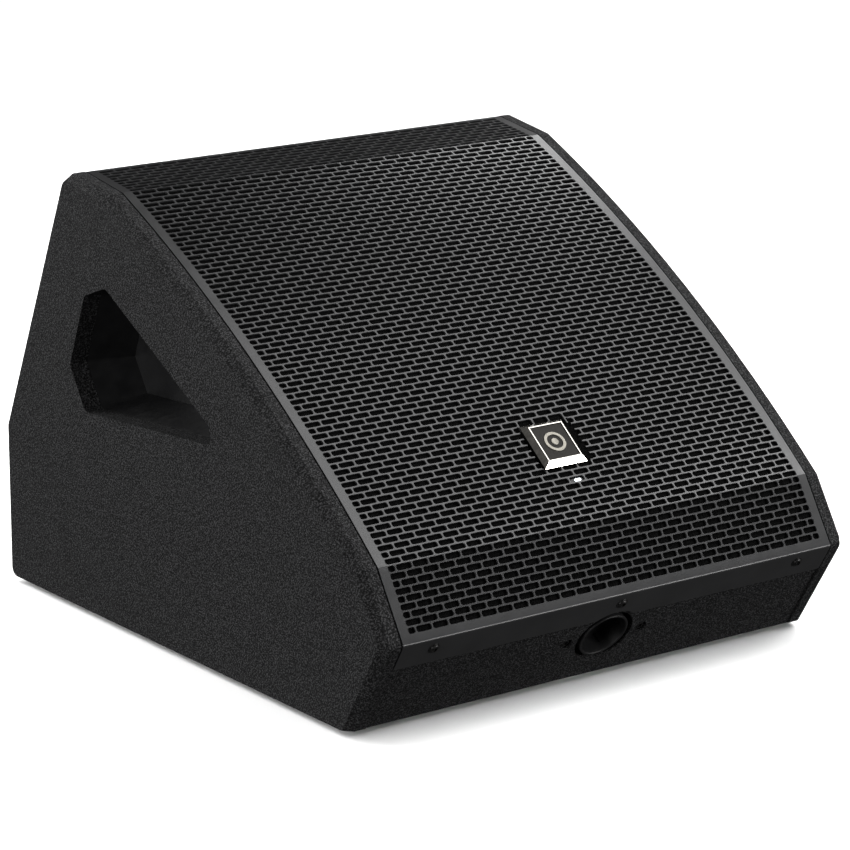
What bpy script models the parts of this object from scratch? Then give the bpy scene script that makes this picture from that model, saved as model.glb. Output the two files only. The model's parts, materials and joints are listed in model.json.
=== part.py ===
"""Stage monitor wedge: a low sloping loudspeaker cabinet with a coaxial driver and a built-in amplifier.

Metres, +Z up, front towards -Y, X across. The shapes are laid out in a design frame whose origin is the
front edge of the underside, at mid width. One empty then stands the whole object on its feet, centred.
"""
import math

import bmesh
import bpy
from mathutils import Matrix, Vector

# Cabinet outline, seen from the side. y runs back from the underside's front edge, z up from the underside.
WIDTH = 0.420
HEIGHT = 0.345
BASE_DEPTH = 0.483
NOSE_REACH = 0.0475
NOSE_HEIGHT = HEIGHT * 29 / 138
LIP_REACH = 0.018
LIP_HEIGHT = HEIGHT * 122 / 345
TOP_DEPTH = 0.058
TOP_RISE = 0.0095
BACK_LEAN = 0.115
WAIST_LEAN = 0.005
WAIST_HEIGHT = 0.1255
FACE_CROWN = 0.0145
ARC_STEPS = 16

# Boards
SIDE_THICKNESS = 0.015
BOARD_THICKNESS = 0.015
SIDE_CHAMFER = 0.006
TOE_CORNER = 0.002
NOSE_CORNER = 0.006
CREST_CORNER = 0.009
WAIST_CORNER = 0.006
HEEL_CORNER = 0.007
GAP = 0.0003
CUT_REACH = 0.010
MERGE_DISTANCE = 0.00001

# How far each board's outer face lies inside the outline
FLANGE_SEAT = 0.0015
RAIL_SEAT = 0.005
BAFFLE_SEAT = 0.022
TOP_SEAT = 0.016
REAR_SEAT = 0.005
REAR_LOWER_SEAT = 0.002

# Grille and its foam
GRILLE_THICKNESS = 0.0012
GRILLE_SIDE_GAP = 0.0012
GRILLE_FLANGE = 0.0245
GRILLE_BACK_GAP = 0.004
FOAM_THICKNESS = 0.003
FOAM_EDGE = 0.004

# Fasteners
SCREW_RADIUS = 0.0018
SCREW_HEAD_RADIUS = 0.0037
SCREW_HEAD_HEIGHT = 0.002
SCREW_CROWN_SHARE = 0.7
SCREW_END_GAP = 0.001
SCREW_LENGTH = 0.012
SCREW_CLEARANCE = 0.0004
GRILLE_SCREW_X = 0.165
GRILLE_SCREW_DOWN = 0.0048

# Badge and status light, at their distance up the bowed face from its lower fold
BADGE_WIDTH = 0.038
BADGE_LENGTH = 0.040
BADGE_THICKNESS = 0.004
BADGE_BEVEL = 0.0025
BADGE_CORNER = 0.001
BADGE_UP = 0.0688
BADGE_ACROSS = -0.0025
LIGHT_PIPE_WIDTH = 0.0055
LIGHT_PIPE_THICKNESS = 0.003
LIGHT_PIPE_CORNER = 0.001
LIGHT_PIPE_UP = 0.0355

# Pole cup in the lower front board
CUP_UP = 0.0415
CUP_BORE_RADIUS = 0.0185
CUP_WALL = 0.002
CUP_DEPTH = 0.062
CUP_SHADOW_GAP = 0.004
CUP_FLANGE_CORNER = 0.010
CUP_FLANGE_THICKNESS = 0.003
CUP_SCREW_X = CUP_BORE_RADIUS + 0.0155
CUP_SCREW_LENGTH = 0.017
CUP_FLANGE_WIDTH = 2 * (CUP_SCREW_X + 0.008)
CUP_FLANGE_LENGTH = 2 * (CUP_BORE_RADIUS + 0.0045)
CUP_SCREW_SEAT_RADIUS = 0.0052
CUP_SCREW_SEAT_DEPTH = 0.003
FLANGE_NOTCH_MARGIN = 0.003

# Hand holds in the side boards: corner (y, z) and corner radius
HANDLE_CORNERS = (
    ((0.346, 0.253), 0.006), ((0.373, 0.194), 0.006), ((0.352, 0.161), 0.008),
    ((0.168, 0.172), 0.006), ((0.172, 0.187), 0.006), ((0.314, 0.264), 0.008))
HANDLE_DEPTH = 0.038
HANDLE_WALL = 0.003
HANDLE_FLANGE = 0.006
HANDLE_DRAFT = 0.007
HANDLE_LEAST_CORNER = 0.001

# Feet
FOOT_HEIGHT = 0.005
FOOT_RADIUS = 0.0125
FOOT_EDGE = 0.001
FOOT_INSET = 0.050

# Coaxial driver, measured from the baffle's outer face, z outwards
DRIVER_UP = 0.012
FRAME_RADIUS = 0.155
FRAME_FLANGE = 0.004
FRAME_WALL = 0.004
FRAME_MOUTH_RADIUS = FRAME_RADIUS - 0.0155
FRAME_LIP_DEPTH = 0.008
FRAME_EASE = 0.001
FRAME_WAIST_RADIUS = 0.090
FRAME_WAIST_DEPTH = 0.060
FRAME_DEPTH = 0.078
FRAME_FLOOR_RADIUS = 0.052
FRAME_WINDOW_WIDTH = 0.046
FRAME_WINDOW_TOP = 0.016
FRAME_WINDOW_MARGIN = 0.004
FRAME_SCREW_CIRCLE = FRAME_RADIUS - 0.006
FRAME_SCREW_LENGTH = 0.014
CONE_RADIUS = FRAME_MOUTH_RADIUS - 0.0215
CONE_THICKNESS = 0.001
CONE_NECK_DEPTH = 0.060
CONE_BEND_SHARE = 0.6
ROLL_LANDING = 0.0065
ROLL_THICKNESS = 0.001
ROLL_OVERLAP = 0.001
COIL_RADIUS = 0.0377
COIL_THICKNESS = 0.0013
COIL_LENGTH = 0.034
COIL_AIR_GAP = 0.0010
SPIDER_DEPTH = 0.067
SPIDER_WAVE = 0.001
SPIDER_THICKNESS = 0.001
TOP_PLATE_RADIUS = 0.080
TOP_PLATE_THICKNESS = 0.008
MAGNET_RADIUS = 0.085
MAGNET_BORE_RADIUS = 0.046
MAGNET_THICKNESS = 0.020
BACK_PLATE_THICKNESS = 0.008
THROAT_RADIUS = 0.0165
HORN_FLARE = 1.8
HORN_MOUTH_RADIUS = 0.050
HORN_MOUTH_DEPTH = 0.008
HORN_WALL = 0.0016
HF_RADIUS = 0.048
HF_LENGTH = 0.043
HF_CHAMFER = 0.003
HF_SHOULDER = 0.010
TURN_STEPS = 28

# Reflex ports
PORT_RADIUS = 0.025
PORT_WALL = 0.0025
PORT_LENGTH = 0.095
PORT_LIP = 0.004
PORT_EASE = 0.001
PORT_EDGE = 0.012
PORT_UP = 0.050

# Amplifier, on the upper rear board. x across, y down the board from the plate's middle, z outwards
PLATE_WIDTH = 0.290
PLATE_END_MARGIN = 0.014
PLATE_THICKNESS = 0.0025
PLATE_OVERLAP = 0.011
PLATE_CORNER = 0.006
CONTROL_ROW_INSET = 0.034
SOCKET_ROW_INSET = 0.040
SOCKET_WIDTH = 0.026
SOCKET_LENGTH = 0.031
SOCKET_FLANGE = 0.0018
SOCKET_CORNER = 0.003
SOCKET_BARREL_RADIUS = 0.0118
SOCKET_BARREL_DEPTH = 0.020
SOCKET_BORE_RADIUS = 0.0096
SOCKET_BORE_DEPTH = 0.011
COMBO_X = (0.112, 0.076)
LINK_X = 0.038
LATCH_WIDTH = 0.006
LATCH_LENGTH = 0.004
LATCH_HEIGHT = 0.002
LATCH_LIFT = 0.0012
LATCH_UP = 0.0125
LATCH_CORNER = 0.0006
GAIN_RADIUS = 0.0075
GAIN_HEIGHT = 0.011
KNOB_EDGE = 0.001
MENU_X = 0.030
MENU_RADIUS = 0.011
MENU_HEIGHT = 0.013
MENU_CAP = 0.005
STEM_RADIUS = 0.003
STEM_DEPTH = 0.008
STEM_CLEARANCE = 0.0006
MENU_TRAVEL = 0.0008
KNOB_CLEARANCE = 0.0009
KNOB_LIFT = MENU_TRAVEL + KNOB_CLEARANCE
DISPLAY_WIDTH = 0.060
DISPLAY_LENGTH = 0.034
DISPLAY_HEIGHT = 0.0014
DISPLAY_CORNER = 0.002
INLET_X = -0.008
INLET_WIDTH = 0.048
INLET_LENGTH = 0.028
INLET_BODY_WIDTH = 0.029
INLET_BODY_LENGTH = 0.021
INLET_DEPTH = 0.018
INLET_CORNER = 0.003
INLET_CAVITY_WIDTH = 0.024
INLET_CAVITY_LENGTH = 0.016
INLET_CAVITY_DEPTH = 0.013
INLET_CAVITY_CORNER = 0.002
ROCKER_UP = 0.046
ROCKER_WIDTH = 0.0132
ROCKER_RADIUS = 0.0103
ROCKER_TILT = 12.0
ROCKER_PIVOT_DEPTH = 0.0005
ROCKER_CLEARANCE = 0.0006
ROCKER_VALLEY = 0.0022
ROCKER_ARC = (-25, 22)
ROCKER_STEPS = 4
ROCKER_FRAME_WALL = 0.002
ROCKER_FRAME_FLANGE = 0.002
ROCKER_FRAME_DEPTH = 0.012
ROCKER_FRAME_CORNER = 0.002
SINK_X = -0.090
SINK_FINS = 9
SINK_PITCH = 0.0105
SINK_FIN = 0.0022
SINK_BASE = 0.002
SINK_HEIGHT = 0.009
SINK_END_MARGIN = 0.022
BOARD_X = 0.064
CIRCUIT_WIDTH = 0.120
CIRCUIT_THICKNESS = 0.0016
CIRCUIT_DEPTH = 0.030
CIRCUIT_END_MARGIN = 0.032
TRANSFORMER_RADIUS = 0.034
TRANSFORMER_HEIGHT = 0.026
TRANSFORMER_BORE_SHARE = 0.35

# Speaker cable inside the cabinet
CABLE_RADIUS = 0.003
CABLE_POINTS = 20
CABLE_EXIT_Y = 0.020
CABLE_DROP = 0.055
CABLE_END = (0.078, 0.072, 0.010)
CABLE_APPROACH = (0.105, 0.110, -0.008)

# Colour, roughness and metallic value of each finish
FINISHES = {
    "textured_paint": ((0.022, 0.022, 0.023), 0.62, 0.0),
    "powder_coat": ((0.035, 0.035, 0.036), 0.38, 0.3),
    "foam": ((0.006, 0.006, 0.006), 0.95, 0.0),
    "bright_metal": ((0.55, 0.54, 0.52), 0.25, 1.0),
    "black_plastic": ((0.015, 0.015, 0.016), 0.45, 0.0),
    "soft_rubber": ((0.02, 0.02, 0.02), 0.8, 0.0),
    "black_screw": ((0.03, 0.03, 0.03), 0.35, 0.9),
    "cast_frame": ((0.05, 0.05, 0.052), 0.5, 0.8),
    "zinc_steel": ((0.42, 0.42, 0.40), 0.35, 1.0),
    "ferrite": ((0.03, 0.03, 0.032), 0.6, 0.1),
    "paper_cone": ((0.02, 0.02, 0.021), 0.85, 0.0),
    "copper_coil": ((0.45, 0.18, 0.08), 0.4, 1.0),
    "spider_cloth": ((0.35, 0.22, 0.08), 0.9, 0.0),
    "circuit": ((0.02, 0.10, 0.04), 0.5, 0.0),
    "black_anodised": ((0.025, 0.025, 0.027), 0.4, 0.8),
    "display": ((0.01, 0.02, 0.03), 0.1, 0.0),
    "white_lens": ((0.8, 0.85, 0.9), 0.3, 0.0),
    "grey_sleeve": ((0.08, 0.08, 0.085), 0.6, 0.0),
}

# Turns an outline in (y, z) into a shape pushed out along X
SIDEWAYS = Matrix(((0, 0, 1, 0), (1, 0, 0, 0), (0, 1, 0, 0), (0, 0, 0, 1)))


# ---------------------------------------------------------------- scene and finishes

def clear_scene():
    for obj in list(bpy.data.objects):
        bpy.data.objects.remove(obj, do_unlink=True)


def new_collection(name):
    collection = bpy.data.collections.new(name)
    bpy.context.scene.collection.children.link(collection)
    return collection


def material_for(name, finish):
    colour, roughness, metallic = FINISHES[finish]
    material = bpy.data.materials.new(name)
    material.use_nodes = True
    shader = material.node_tree.nodes["Principled BSDF"]
    shader.inputs["Base Color"].default_value = (*colour, 1.0)
    shader.inputs["Roughness"].default_value = roughness
    shader.inputs["Metallic"].default_value = metallic
    material.diffuse_color = (*colour, 1.0)
    return material


def add_part(name, data, finish, frame):
    """Adds a sub-part to the monitor. frame is its place in the design frame."""
    part = bpy.data.objects.new(name, data)
    PARTS.objects.link(part)
    part.parent = STAND
    part.matrix_basis = frame
    data.materials.append(material_for(name, finish))
    return part


def add_cutter(name, mesh, frame):
    cutter = bpy.data.objects.new(name, mesh)
    CUTTERS.objects.link(cutter)
    cutter.parent = STAND
    cutter.matrix_basis = frame
    cutter.hide_render = True
    cutter.display_type = "WIRE"
    return cutter


def boolean(part, tool, operation="DIFFERENCE"):
    modifier = part.modifiers.new(tool.name, "BOOLEAN")
    modifier.object = tool
    modifier.operation = operation


def cut(part, name, mesh, frame):
    boolean(part, add_cutter(name, mesh, frame))


# ---------------------------------------------------------------- outlines and meshes

def shift(x, y, z):
    return Matrix.Translation((x, y, z))


def rounded(corners, steps=4):
    """Closed outline through corners of (point, radius), with round corners."""
    outline = []
    count = len(corners)
    for index, (point, radius) in enumerate(corners):
        here = Vector(point)
        back = (Vector(corners[index - 1][0]) - here).normalized()
        ahead = (Vector(corners[(index + 1) % count][0]) - here).normalized()
        if radius <= 0:
            outline.append(here)
            continue
        half = math.acos(max(-1.0, min(1.0, back.dot(ahead)))) / 2
        middle = (back + ahead).normalized()
        centre = here + middle * radius / math.sin(half)
        start = here + back * radius / math.tan(half) - centre
        turn = math.pi - 2 * half
        if back.x * ahead.y - back.y * ahead.x > 0:
            turn = -turn
        for step in range(steps + 1):
            angle = turn * step / steps
            cosine, sine = math.cos(angle), math.sin(angle)
            outline.append(centre + Vector((start.x * cosine - start.y * sine,
                                            start.x * sine + start.y * cosine)))
    return outline


def rectangle(width, length, radius=0.0):
    """Outline of a rectangle about the origin, with round corners."""
    x, y = width / 2, length / 2
    return rounded([((x, y), radius), ((-x, y), radius), ((-x, -y), radius), ((x, -y), radius)])


def finish_mesh(name, bm):
    bmesh.ops.recalc_face_normals(bm, faces=bm.faces)
    mesh = bpy.data.meshes.new(name)
    bm.to_mesh(mesh)
    bm.free()
    return mesh


def extruded(name, outline, low, high):
    """Solid with the given outline in x and y, between z = low and z = high."""
    low, high = sorted((low, high))
    bm = bmesh.new()
    face = bm.faces.new([bm.verts.new((x, y, low)) for x, y in outline])
    grown = bmesh.ops.extrude_face_region(bm, geom=[face])
    tops = [item for item in grown["geom"] if isinstance(item, bmesh.types.BMVert)]
    bmesh.ops.translate(bm, verts=tops, vec=(0, 0, high - low))
    return finish_mesh(name, bm)


def cylinder(name, radius, low, high, segments=24):
    bm = bmesh.new()
    bmesh.ops.create_cone(bm, cap_ends=True, segments=segments, radius1=radius, radius2=radius,
                          depth=high - low, matrix=shift(0, 0, (low + high) / 2))
    return finish_mesh(name, bm)


def turned(name, profile, closed, finish, frame, steps=TURN_STEPS):
    """Turns a profile of (radius, z) about Z. It runs down the outer side; a closed one is a ring."""
    count = len(profile)
    edges = [(index, index + 1) for index in range(count - 1)]
    if closed:
        edges.append((count - 1, 0))
    mesh = bpy.data.meshes.new(name)
    mesh.from_pydata([(radius, 0, z) for radius, z in profile], edges, [])
    part = add_part(name, mesh, finish, frame)
    screw = part.modifiers.new("turn", "SCREW")
    screw.axis = "Z"
    screw.steps = steps
    screw.render_steps = steps
    screw.use_merge_vertices = True
    screw.merge_threshold = MERGE_DISTANCE
    screw.use_smooth_shade = True
    return part


def loft(name, loops, capped):
    """Surface through loops of points, with a face on each loop whose index is in capped."""
    bm = bmesh.new()
    rings = [[bm.verts.new(point) for point in loop] for loop in loops]
    for near, far in zip(rings, rings[1:]):
        count = len(near)
        for index in range(count):
            following = (index + 1) % count
            bm.faces.new((near[index], near[following], far[following], far[index]))
    for index in capped:
        bm.faces.new(rings[index])
    return finish_mesh(name, bm)


def solidify(part, thickness, offset):
    modifier = part.modifiers.new("thickness", "SOLIDIFY")
    modifier.thickness = thickness
    modifier.offset = offset
    modifier.use_even_offset = True


def screw(name, finish, frame, head_low, length, steps=12):
    """Pan-head screw that points down its frame's Z, its head's underside at head_low."""
    top = head_low + SCREW_HEAD_HEIGHT
    crown = SCREW_HEAD_RADIUS * SCREW_CROWN_SHARE
    profile = [(0, top), (crown, top), (SCREW_HEAD_RADIUS, head_low + SCREW_HEAD_HEIGHT / 2),
               (SCREW_HEAD_RADIUS, head_low), (SCREW_RADIUS, head_low),
               (SCREW_RADIUS, head_low - length), (0, head_low - length)]
    return turned(name, profile, False, finish, frame, steps)


def screw_hole(part, name, frame, low, high):
    cut(part, name, cylinder(name, SCREW_RADIUS + SCREW_CLEARANCE, low, high, 12), frame)


# ---------------------------------------------------------------- cabinet profile

def profile_points():
    """Corners of the side outline, in order from the underside's front edge over the top."""
    back = BASE_DEPTH
    return {
        "base_front": Vector((0.0, 0.0)),
        "nose": Vector((-NOSE_REACH, NOSE_HEIGHT)),
        "lip": Vector((-LIP_REACH, LIP_HEIGHT)),
        "brow": Vector((back - BACK_LEAN - TOP_DEPTH, HEIGHT - TOP_RISE)),
        "top_back": Vector((back - BACK_LEAN, HEIGHT)),
        "waist": Vector((back - WAIST_LEAN, WAIST_HEIGHT)),
        "base_back": Vector((back, 0.0)),
    }


class BowedFace:
    """The main face: an arc from the lower fold to the upper fold."""

    def __init__(self, start, end, crown):
        chord = end - start
        self.along = chord.normalized()
        self.out = Vector((-self.along.y, self.along.x))
        self.radius = (chord.length ** 2 / 4 + crown ** 2) / (2 * crown)
        self.half_angle = math.asin(chord.length / 2 / self.radius)
        self.centre = (start + end) / 2 + self.out * (crown - self.radius)

    def point(self, angle):
        return self.centre + (self.out * math.cos(angle) + self.along * math.sin(angle)) * self.radius

    def points(self, steps):
        spread = [2 * step / steps - 1 for step in range(steps + 1)]
        return [self.point(self.half_angle * share) for share in spread]

    def frame(self, distance):
        """Frame on the face at a distance up from the lower fold, Z outwards."""
        angle = distance / self.radius - self.half_angle
        tangent = self.along * math.cos(angle) - self.out * math.sin(angle)
        return face_frame(self.point(angle), tangent)


def face_frame(point, direction):
    """Frame at a point of the outline: X across, Y along the outline, Z out of the cabinet."""
    angle = math.atan2(direction.y, direction.x)
    return shift(0, point.x, point.y) @ Matrix.Rotation(angle, 4, "X")


def offset_path(path, distance):
    """The open path moved by distance to the inside, with mitred corners."""
    moved = []
    for index, point in enumerate(path):
        before = path[max(index - 1, 0)]
        after = path[min(index + 1, len(path) - 1)]
        first = (point - before).normalized() if index > 0 else (after - point).normalized()
        second = (after - point).normalized() if index < len(path) - 1 else first
        inward = Vector((first.y, -first.x)) + Vector((second.y, -second.x))
        inward.normalize()
        stretch = inward.dot(Vector((first.y, -first.x)))
        moved.append(point + inward * distance / stretch)
    return moved


def inset_line(start, end, inset):
    direction = (end - start).normalized()
    return start + Vector((direction.y, -direction.x)) * inset, direction


def crossing(first, second):
    (point, direction), (other, heading) = first, second
    between = other - point
    reach = ((between.x * heading.y - between.y * heading.x)
             / (direction.x * heading.y - direction.y * heading.x))
    return point + direction * reach


class Wall:
    """One board between the two side boards, mitred against its neighbours."""

    def __init__(self, name, start, end, inset):
        self.name = name
        self.start, self.end, self.inset = start, end, inset

    def line(self, depth):
        return inset_line(self.start, self.end, self.inset + depth)

    def join(self, before, after):
        self.outer = [crossing(before.line(0), self.line(0)), crossing(self.line(0), after.line(0))]
        self.inner = [crossing(before.line(BOARD_THICKNESS), self.line(BOARD_THICKNESS)),
                      crossing(self.line(BOARD_THICKNESS), after.line(BOARD_THICKNESS))]
        self.direction = (self.outer[1] - self.outer[0]).normalized()
        self.length = (self.outer[1] - self.outer[0]).length
        self.frame = face_frame(self.outer[0], self.direction)
        self.middle = self.frame @ shift(0, self.length / 2, 0)

    def build(self):
        step = self.direction * GAP
        outline = [self.outer[0] + step, self.outer[1] - step, self.inner[1] - step, self.inner[0] + step]
        half = INNER_HALF_WIDTH - GAP
        return add_part(self.name, extruded(self.name, outline, -half, half), "textured_paint", SIDEWAYS)


def cabinet_walls():
    """The boards in a ring, in the outline's order, each knowing its corners."""
    corner = PROFILE
    walls = [
        Wall("bottom_panel", corner["base_back"], corner["base_front"], 0.0),
        Wall("front_lower_panel", corner["base_front"], corner["nose"], FLANGE_SEAT),
        Wall("lower_rail", corner["nose"], corner["lip"], RAIL_SEAT),
        Wall("baffle_board", corner["lip"], corner["brow"], BAFFLE_SEAT),
        Wall("top_panel", corner["brow"], corner["top_back"], TOP_SEAT),
        Wall("rear_upper_panel", corner["top_back"], corner["waist"], REAR_SEAT),
        Wall("rear_lower_panel", corner["waist"], corner["base_back"], REAR_LOWER_SEAT),
    ]
    for index, wall in enumerate(walls):
        wall.join(walls[index - 1], walls[(index + 1) % len(walls)])
    return {wall.name: wall for wall in walls}


# ---------------------------------------------------------------- side boards and hand holds

def side_corners():
    """Corners of the side outline as (point, radius, chamfer of the edge that starts there)."""
    corner = PROFILE
    front = [(corner["base_front"], TOE_CORNER, SIDE_CHAMFER), (corner["nose"], NOSE_CORNER, SIDE_CHAMFER)]
    front += [(point, 0.0, SIDE_CHAMFER) for point in FACE.points(ARC_STEPS)]
    rear = [(corner["top_back"], CREST_CORNER, 0.0), (corner["waist"], WAIST_CORNER, 0.0),
            (corner["base_back"], HEEL_CORNER, 0.0)]
    return front + rear


def side_outline(share=0.0):
    """Side outline, its front stretch drawn in by a share of the chamfer."""
    corners = side_corners()
    count = len(corners)
    drawn = []
    for index, (point, radius, chamfer) in enumerate(corners):
        previous = corners[index - 1]
        before = inset_line(previous[0], point, previous[2] * share)
        after = inset_line(point, corners[(index + 1) % count][0], chamfer * share)
        drawn.append((crossing(before, after), radius))
    return rounded(drawn)


def side_panel(name, side):
    inner = side * INNER_HALF_WIDTH
    outer = side * WIDTH / 2
    sections = ((inner, 0.0), (outer - side * SIDE_CHAMFER, 0.0), (outer, 1.0))
    loops = [[(x, point.x, point.y) for point in side_outline(share)] for x, share in sections]
    panel = add_part(name, loft(name, loops, (0, -1)), "textured_paint", Matrix.Identity(4))
    reach = 2 * SIDE_THICKNESS
    hole = extruded(name + "_hand_hold", rounded(HANDLE_CORNERS), inner - side * reach, outer + side * reach)
    cut(panel, name + "_hand_hold", hole, SIDEWAYS)


def grown_corners(corners, distance):
    """Corners of a closed outline moved outwards by distance, their radii with them."""
    points = [Vector(point) for point, radius in corners]
    area = sum(a.x * b.y - a.y * b.x for a, b in zip(points, points[1:] + points[:1]))
    inset = distance if area > 0 else -distance
    grown = []
    for index, (point, radius) in enumerate(corners):
        following = points[(index + 1) % len(points)]
        before = inset_line(points[index - 1], points[index], inset)
        after = inset_line(points[index], following, inset)
        grown.append((crossing(before, after), max(radius + distance, HANDLE_LEAST_CORNER)))
    return grown


def handle_cup(name, side):
    """Moulded cup behind the hand hold: a flange, walls that draw in and a floor."""
    mouth = side * (INNER_HALF_WIDTH - GAP)
    floor = mouth - side * HANDLE_DEPTH
    sections = ((HANDLE_FLANGE, mouth), (0.0, mouth), (-HANDLE_DRAFT, floor))
    loops = []
    for grow, x in sections:
        outline = rounded(grown_corners(HANDLE_CORNERS, grow))
        loops.append([(x, point.x, point.y) for point in outline])
    cup = add_part(name, loft(name, loops, (-1,)), "black_plastic", Matrix.Identity(4))
    solidify(cup, HANDLE_WALL, -1.0)
    floor_looks_in = cup.data.polygons[-1].normal.x * side < 0
    if floor_looks_in:
        cup.data.flip_normals()


# ---------------------------------------------------------------- grille, badge and light

def grille_path():
    """Outer line of the folded sheet, from its lower flange over the nose and the face to its rear hem."""
    corner = PROFILE
    flange_end = corner["nose"] + (corner["base_front"] - corner["nose"]).normalized() * GRILLE_FLANGE
    top = (corner["brow"] - corner["top_back"]).normalized()
    sheet_back = corner["top_back"] + top * GRILLE_BACK_GAP
    down = (corner["waist"] - corner["top_back"]).normalized()
    hem_end = crossing((sheet_back, down), WALLS["top_panel"].line(-2 * GAP))
    return [flange_end, corner["nose"], *FACE.points(ARC_STEPS), sheet_back, hem_end]


def strip(name, path, half_width):
    """Open sheet along a path in (y, z), facing out of the cabinet."""
    bm = bmesh.new()
    left = [bm.verts.new((-half_width, point.x, point.y)) for point in path]
    right = [bm.verts.new((half_width, point.x, point.y)) for point in path]
    for index in range(len(path) - 1):
        bm.faces.new((left[index], right[index], right[index + 1], left[index + 1]))
    mesh = bpy.data.meshes.new(name)
    bm.to_mesh(mesh)
    bm.free()
    return mesh


def grille(cup_frame):
    sheet = add_part("grille", strip("grille", grille_path(), GRILLE_HALF_WIDTH), "powder_coat",
                     Matrix.Identity(4))
    solidify(sheet, GRILLE_THICKNESS, -1.0)
    notch_radius = CUP_BORE_RADIUS + CUP_WALL + CUP_SHADOW_GAP + FLANGE_NOTCH_MARGIN
    cut(sheet, "flange_notch", cylinder("flange_notch", notch_radius, -CUT_REACH, CUT_REACH, 36), cup_frame)
    for index, frame in enumerate(grille_screw_frames(), 1):
        screw_hole(sheet, f"grille_hole_{index}", frame, -GAP, CUT_REACH)


def grille_screw_frames():
    board = WALLS["front_lower_panel"]
    up = board.length - GRILLE_SCREW_DOWN
    return [board.frame @ shift(x, up, 0) for x in (-GRILLE_SCREW_X, 0.0, GRILLE_SCREW_X)]


def grille_screws(panels):
    """Screws through the grille's flange, into the mitre of the lower front board and the rail."""
    head = FLANGE_SEAT + GAP
    low = head - SCREW_LENGTH - SCREW_END_GAP
    for index, frame in enumerate(grille_screw_frames(), 1):
        screw(f"grille_screw_{index}", "black_screw", frame, head, SCREW_LENGTH)
        for panel in panels:
            screw_hole(panel, f"{panel.name}_grille_bore_{index}", frame, low, CUT_REACH)


def grille_foam():
    path = grille_path()[1:-1]
    low_end = path[0] + (path[1] - path[0]).normalized() * FOAM_EDGE
    high_end = path[-1] + (path[-2] - path[-1]).normalized() * FOAM_EDGE
    under = offset_path([low_end, *path[1:-1], high_end], GRILLE_THICKNESS + GAP)
    foam = add_part("grille_foam", strip("grille_foam", under, GRILLE_HALF_WIDTH - FOAM_EDGE), "foam",
                    Matrix.Identity(4))
    solidify(foam, FOAM_THICKNESS, -1.0)
    return foam


def badge():
    outline = rectangle(BADGE_WIDTH, BADGE_LENGTH, BADGE_CORNER)
    mesh = extruded("badge_plate", outline, GAP, GAP + BADGE_THICKNESS)
    plate = add_part("badge_plate", mesh, "bright_metal", FACE.frame(BADGE_UP) @ shift(BADGE_ACROSS, 0, 0))
    bevel = plate.modifiers.new("bevel", "BEVEL")
    bevel.limit_method = "ANGLE"
    bevel.angle_limit = math.radians(60)
    bevel.width = BADGE_BEVEL
    bevel.segments = 1


def light_pipe(foam):
    """Clear post that carries the status light from the baffle to the back of the grille."""
    baffle = WALLS["baffle_board"].frame
    spot = baffle.inverted() @ FACE.frame(LIGHT_PIPE_UP).translation
    top = spot.z - GRILLE_THICKNESS - 2 * GAP
    frame = baffle @ shift(0, spot.y, 0)
    outline = rectangle(LIGHT_PIPE_WIDTH, LIGHT_PIPE_THICKNESS, LIGHT_PIPE_CORNER)
    add_part("light_pipe", extruded("light_pipe", outline, GAP, top), "white_lens", frame)
    around = rectangle(LIGHT_PIPE_WIDTH + 2 * GAP, LIGHT_PIPE_THICKNESS + 2 * GAP, LIGHT_PIPE_CORNER)
    cut(foam, "light_pipe_gap", extruded("light_pipe_gap", around, GAP, top + CUT_REACH), frame)


# ---------------------------------------------------------------- pole cup and feet

def pole_cup(panel, frame):
    """Blind socket for a stand's pole, held from behind by a flange and two screws."""
    outer = CUP_BORE_RADIUS + CUP_WALL
    behind = -BOARD_THICKNESS - GAP
    rim = -GAP
    floor = rim - CUP_DEPTH
    cup = add_part("pole_cup", cylinder("pole_cup", outer, floor - CUP_WALL, rim, 40), "black_plastic", frame)
    ears = rectangle(CUP_FLANGE_WIDTH, CUP_FLANGE_LENGTH, CUP_FLANGE_CORNER)
    flange = extruded("pole_cup_flange", ears, behind - CUP_FLANGE_THICKNESS, behind)
    boolean(cup, add_cutter("pole_cup_flange", flange, frame), "UNION")
    cut(cup, "pole_cup_bore", cylinder("pole_cup_bore", CUP_BORE_RADIUS, floor, CUT_REACH, 40), frame)
    hole = cylinder("pole_cup_hole", outer + CUP_SHADOW_GAP, -2 * BOARD_THICKNESS, BOARD_THICKNESS, 40)
    cut(panel, "pole_cup_hole", hole, frame)
    seat = -CUP_SCREW_SEAT_DEPTH
    for index, x in enumerate((-CUP_SCREW_X, CUP_SCREW_X), 1):
        place = frame @ shift(x, 0, 0)
        name = f"cup_screw_{index}"
        screw(name, "black_screw", place, seat + GAP, CUP_SCREW_LENGTH)
        round_seat = cylinder(name + "_seat", CUP_SCREW_SEAT_RADIUS, seat, CUT_REACH, 20)
        cut(panel, name + "_seat", round_seat, place)
        screw_hole(panel, name + "_bore", place, -2 * BOARD_THICKNESS, CUT_REACH)
        screw_hole(cup, name + "_flange_bore", place, -2 * BOARD_THICKNESS, -CUT_REACH)


def feet():
    x = WIDTH / 2 - FOOT_INSET
    index = 0
    profile = [(0, -GAP), (FOOT_RADIUS, -GAP), (FOOT_RADIUS, -FOOT_HEIGHT + FOOT_EDGE),
               (FOOT_RADIUS - FOOT_EDGE, -FOOT_HEIGHT), (0, -FOOT_HEIGHT)]
    for side_x in (-x, x):
        for y in (FOOT_INSET, BASE_DEPTH - FOOT_INSET):
            index += 1
            turned(f"foot_{index}", profile, False, "soft_rubber", shift(side_x, y, 0), 20)


# ---------------------------------------------------------------- coaxial driver

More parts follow.
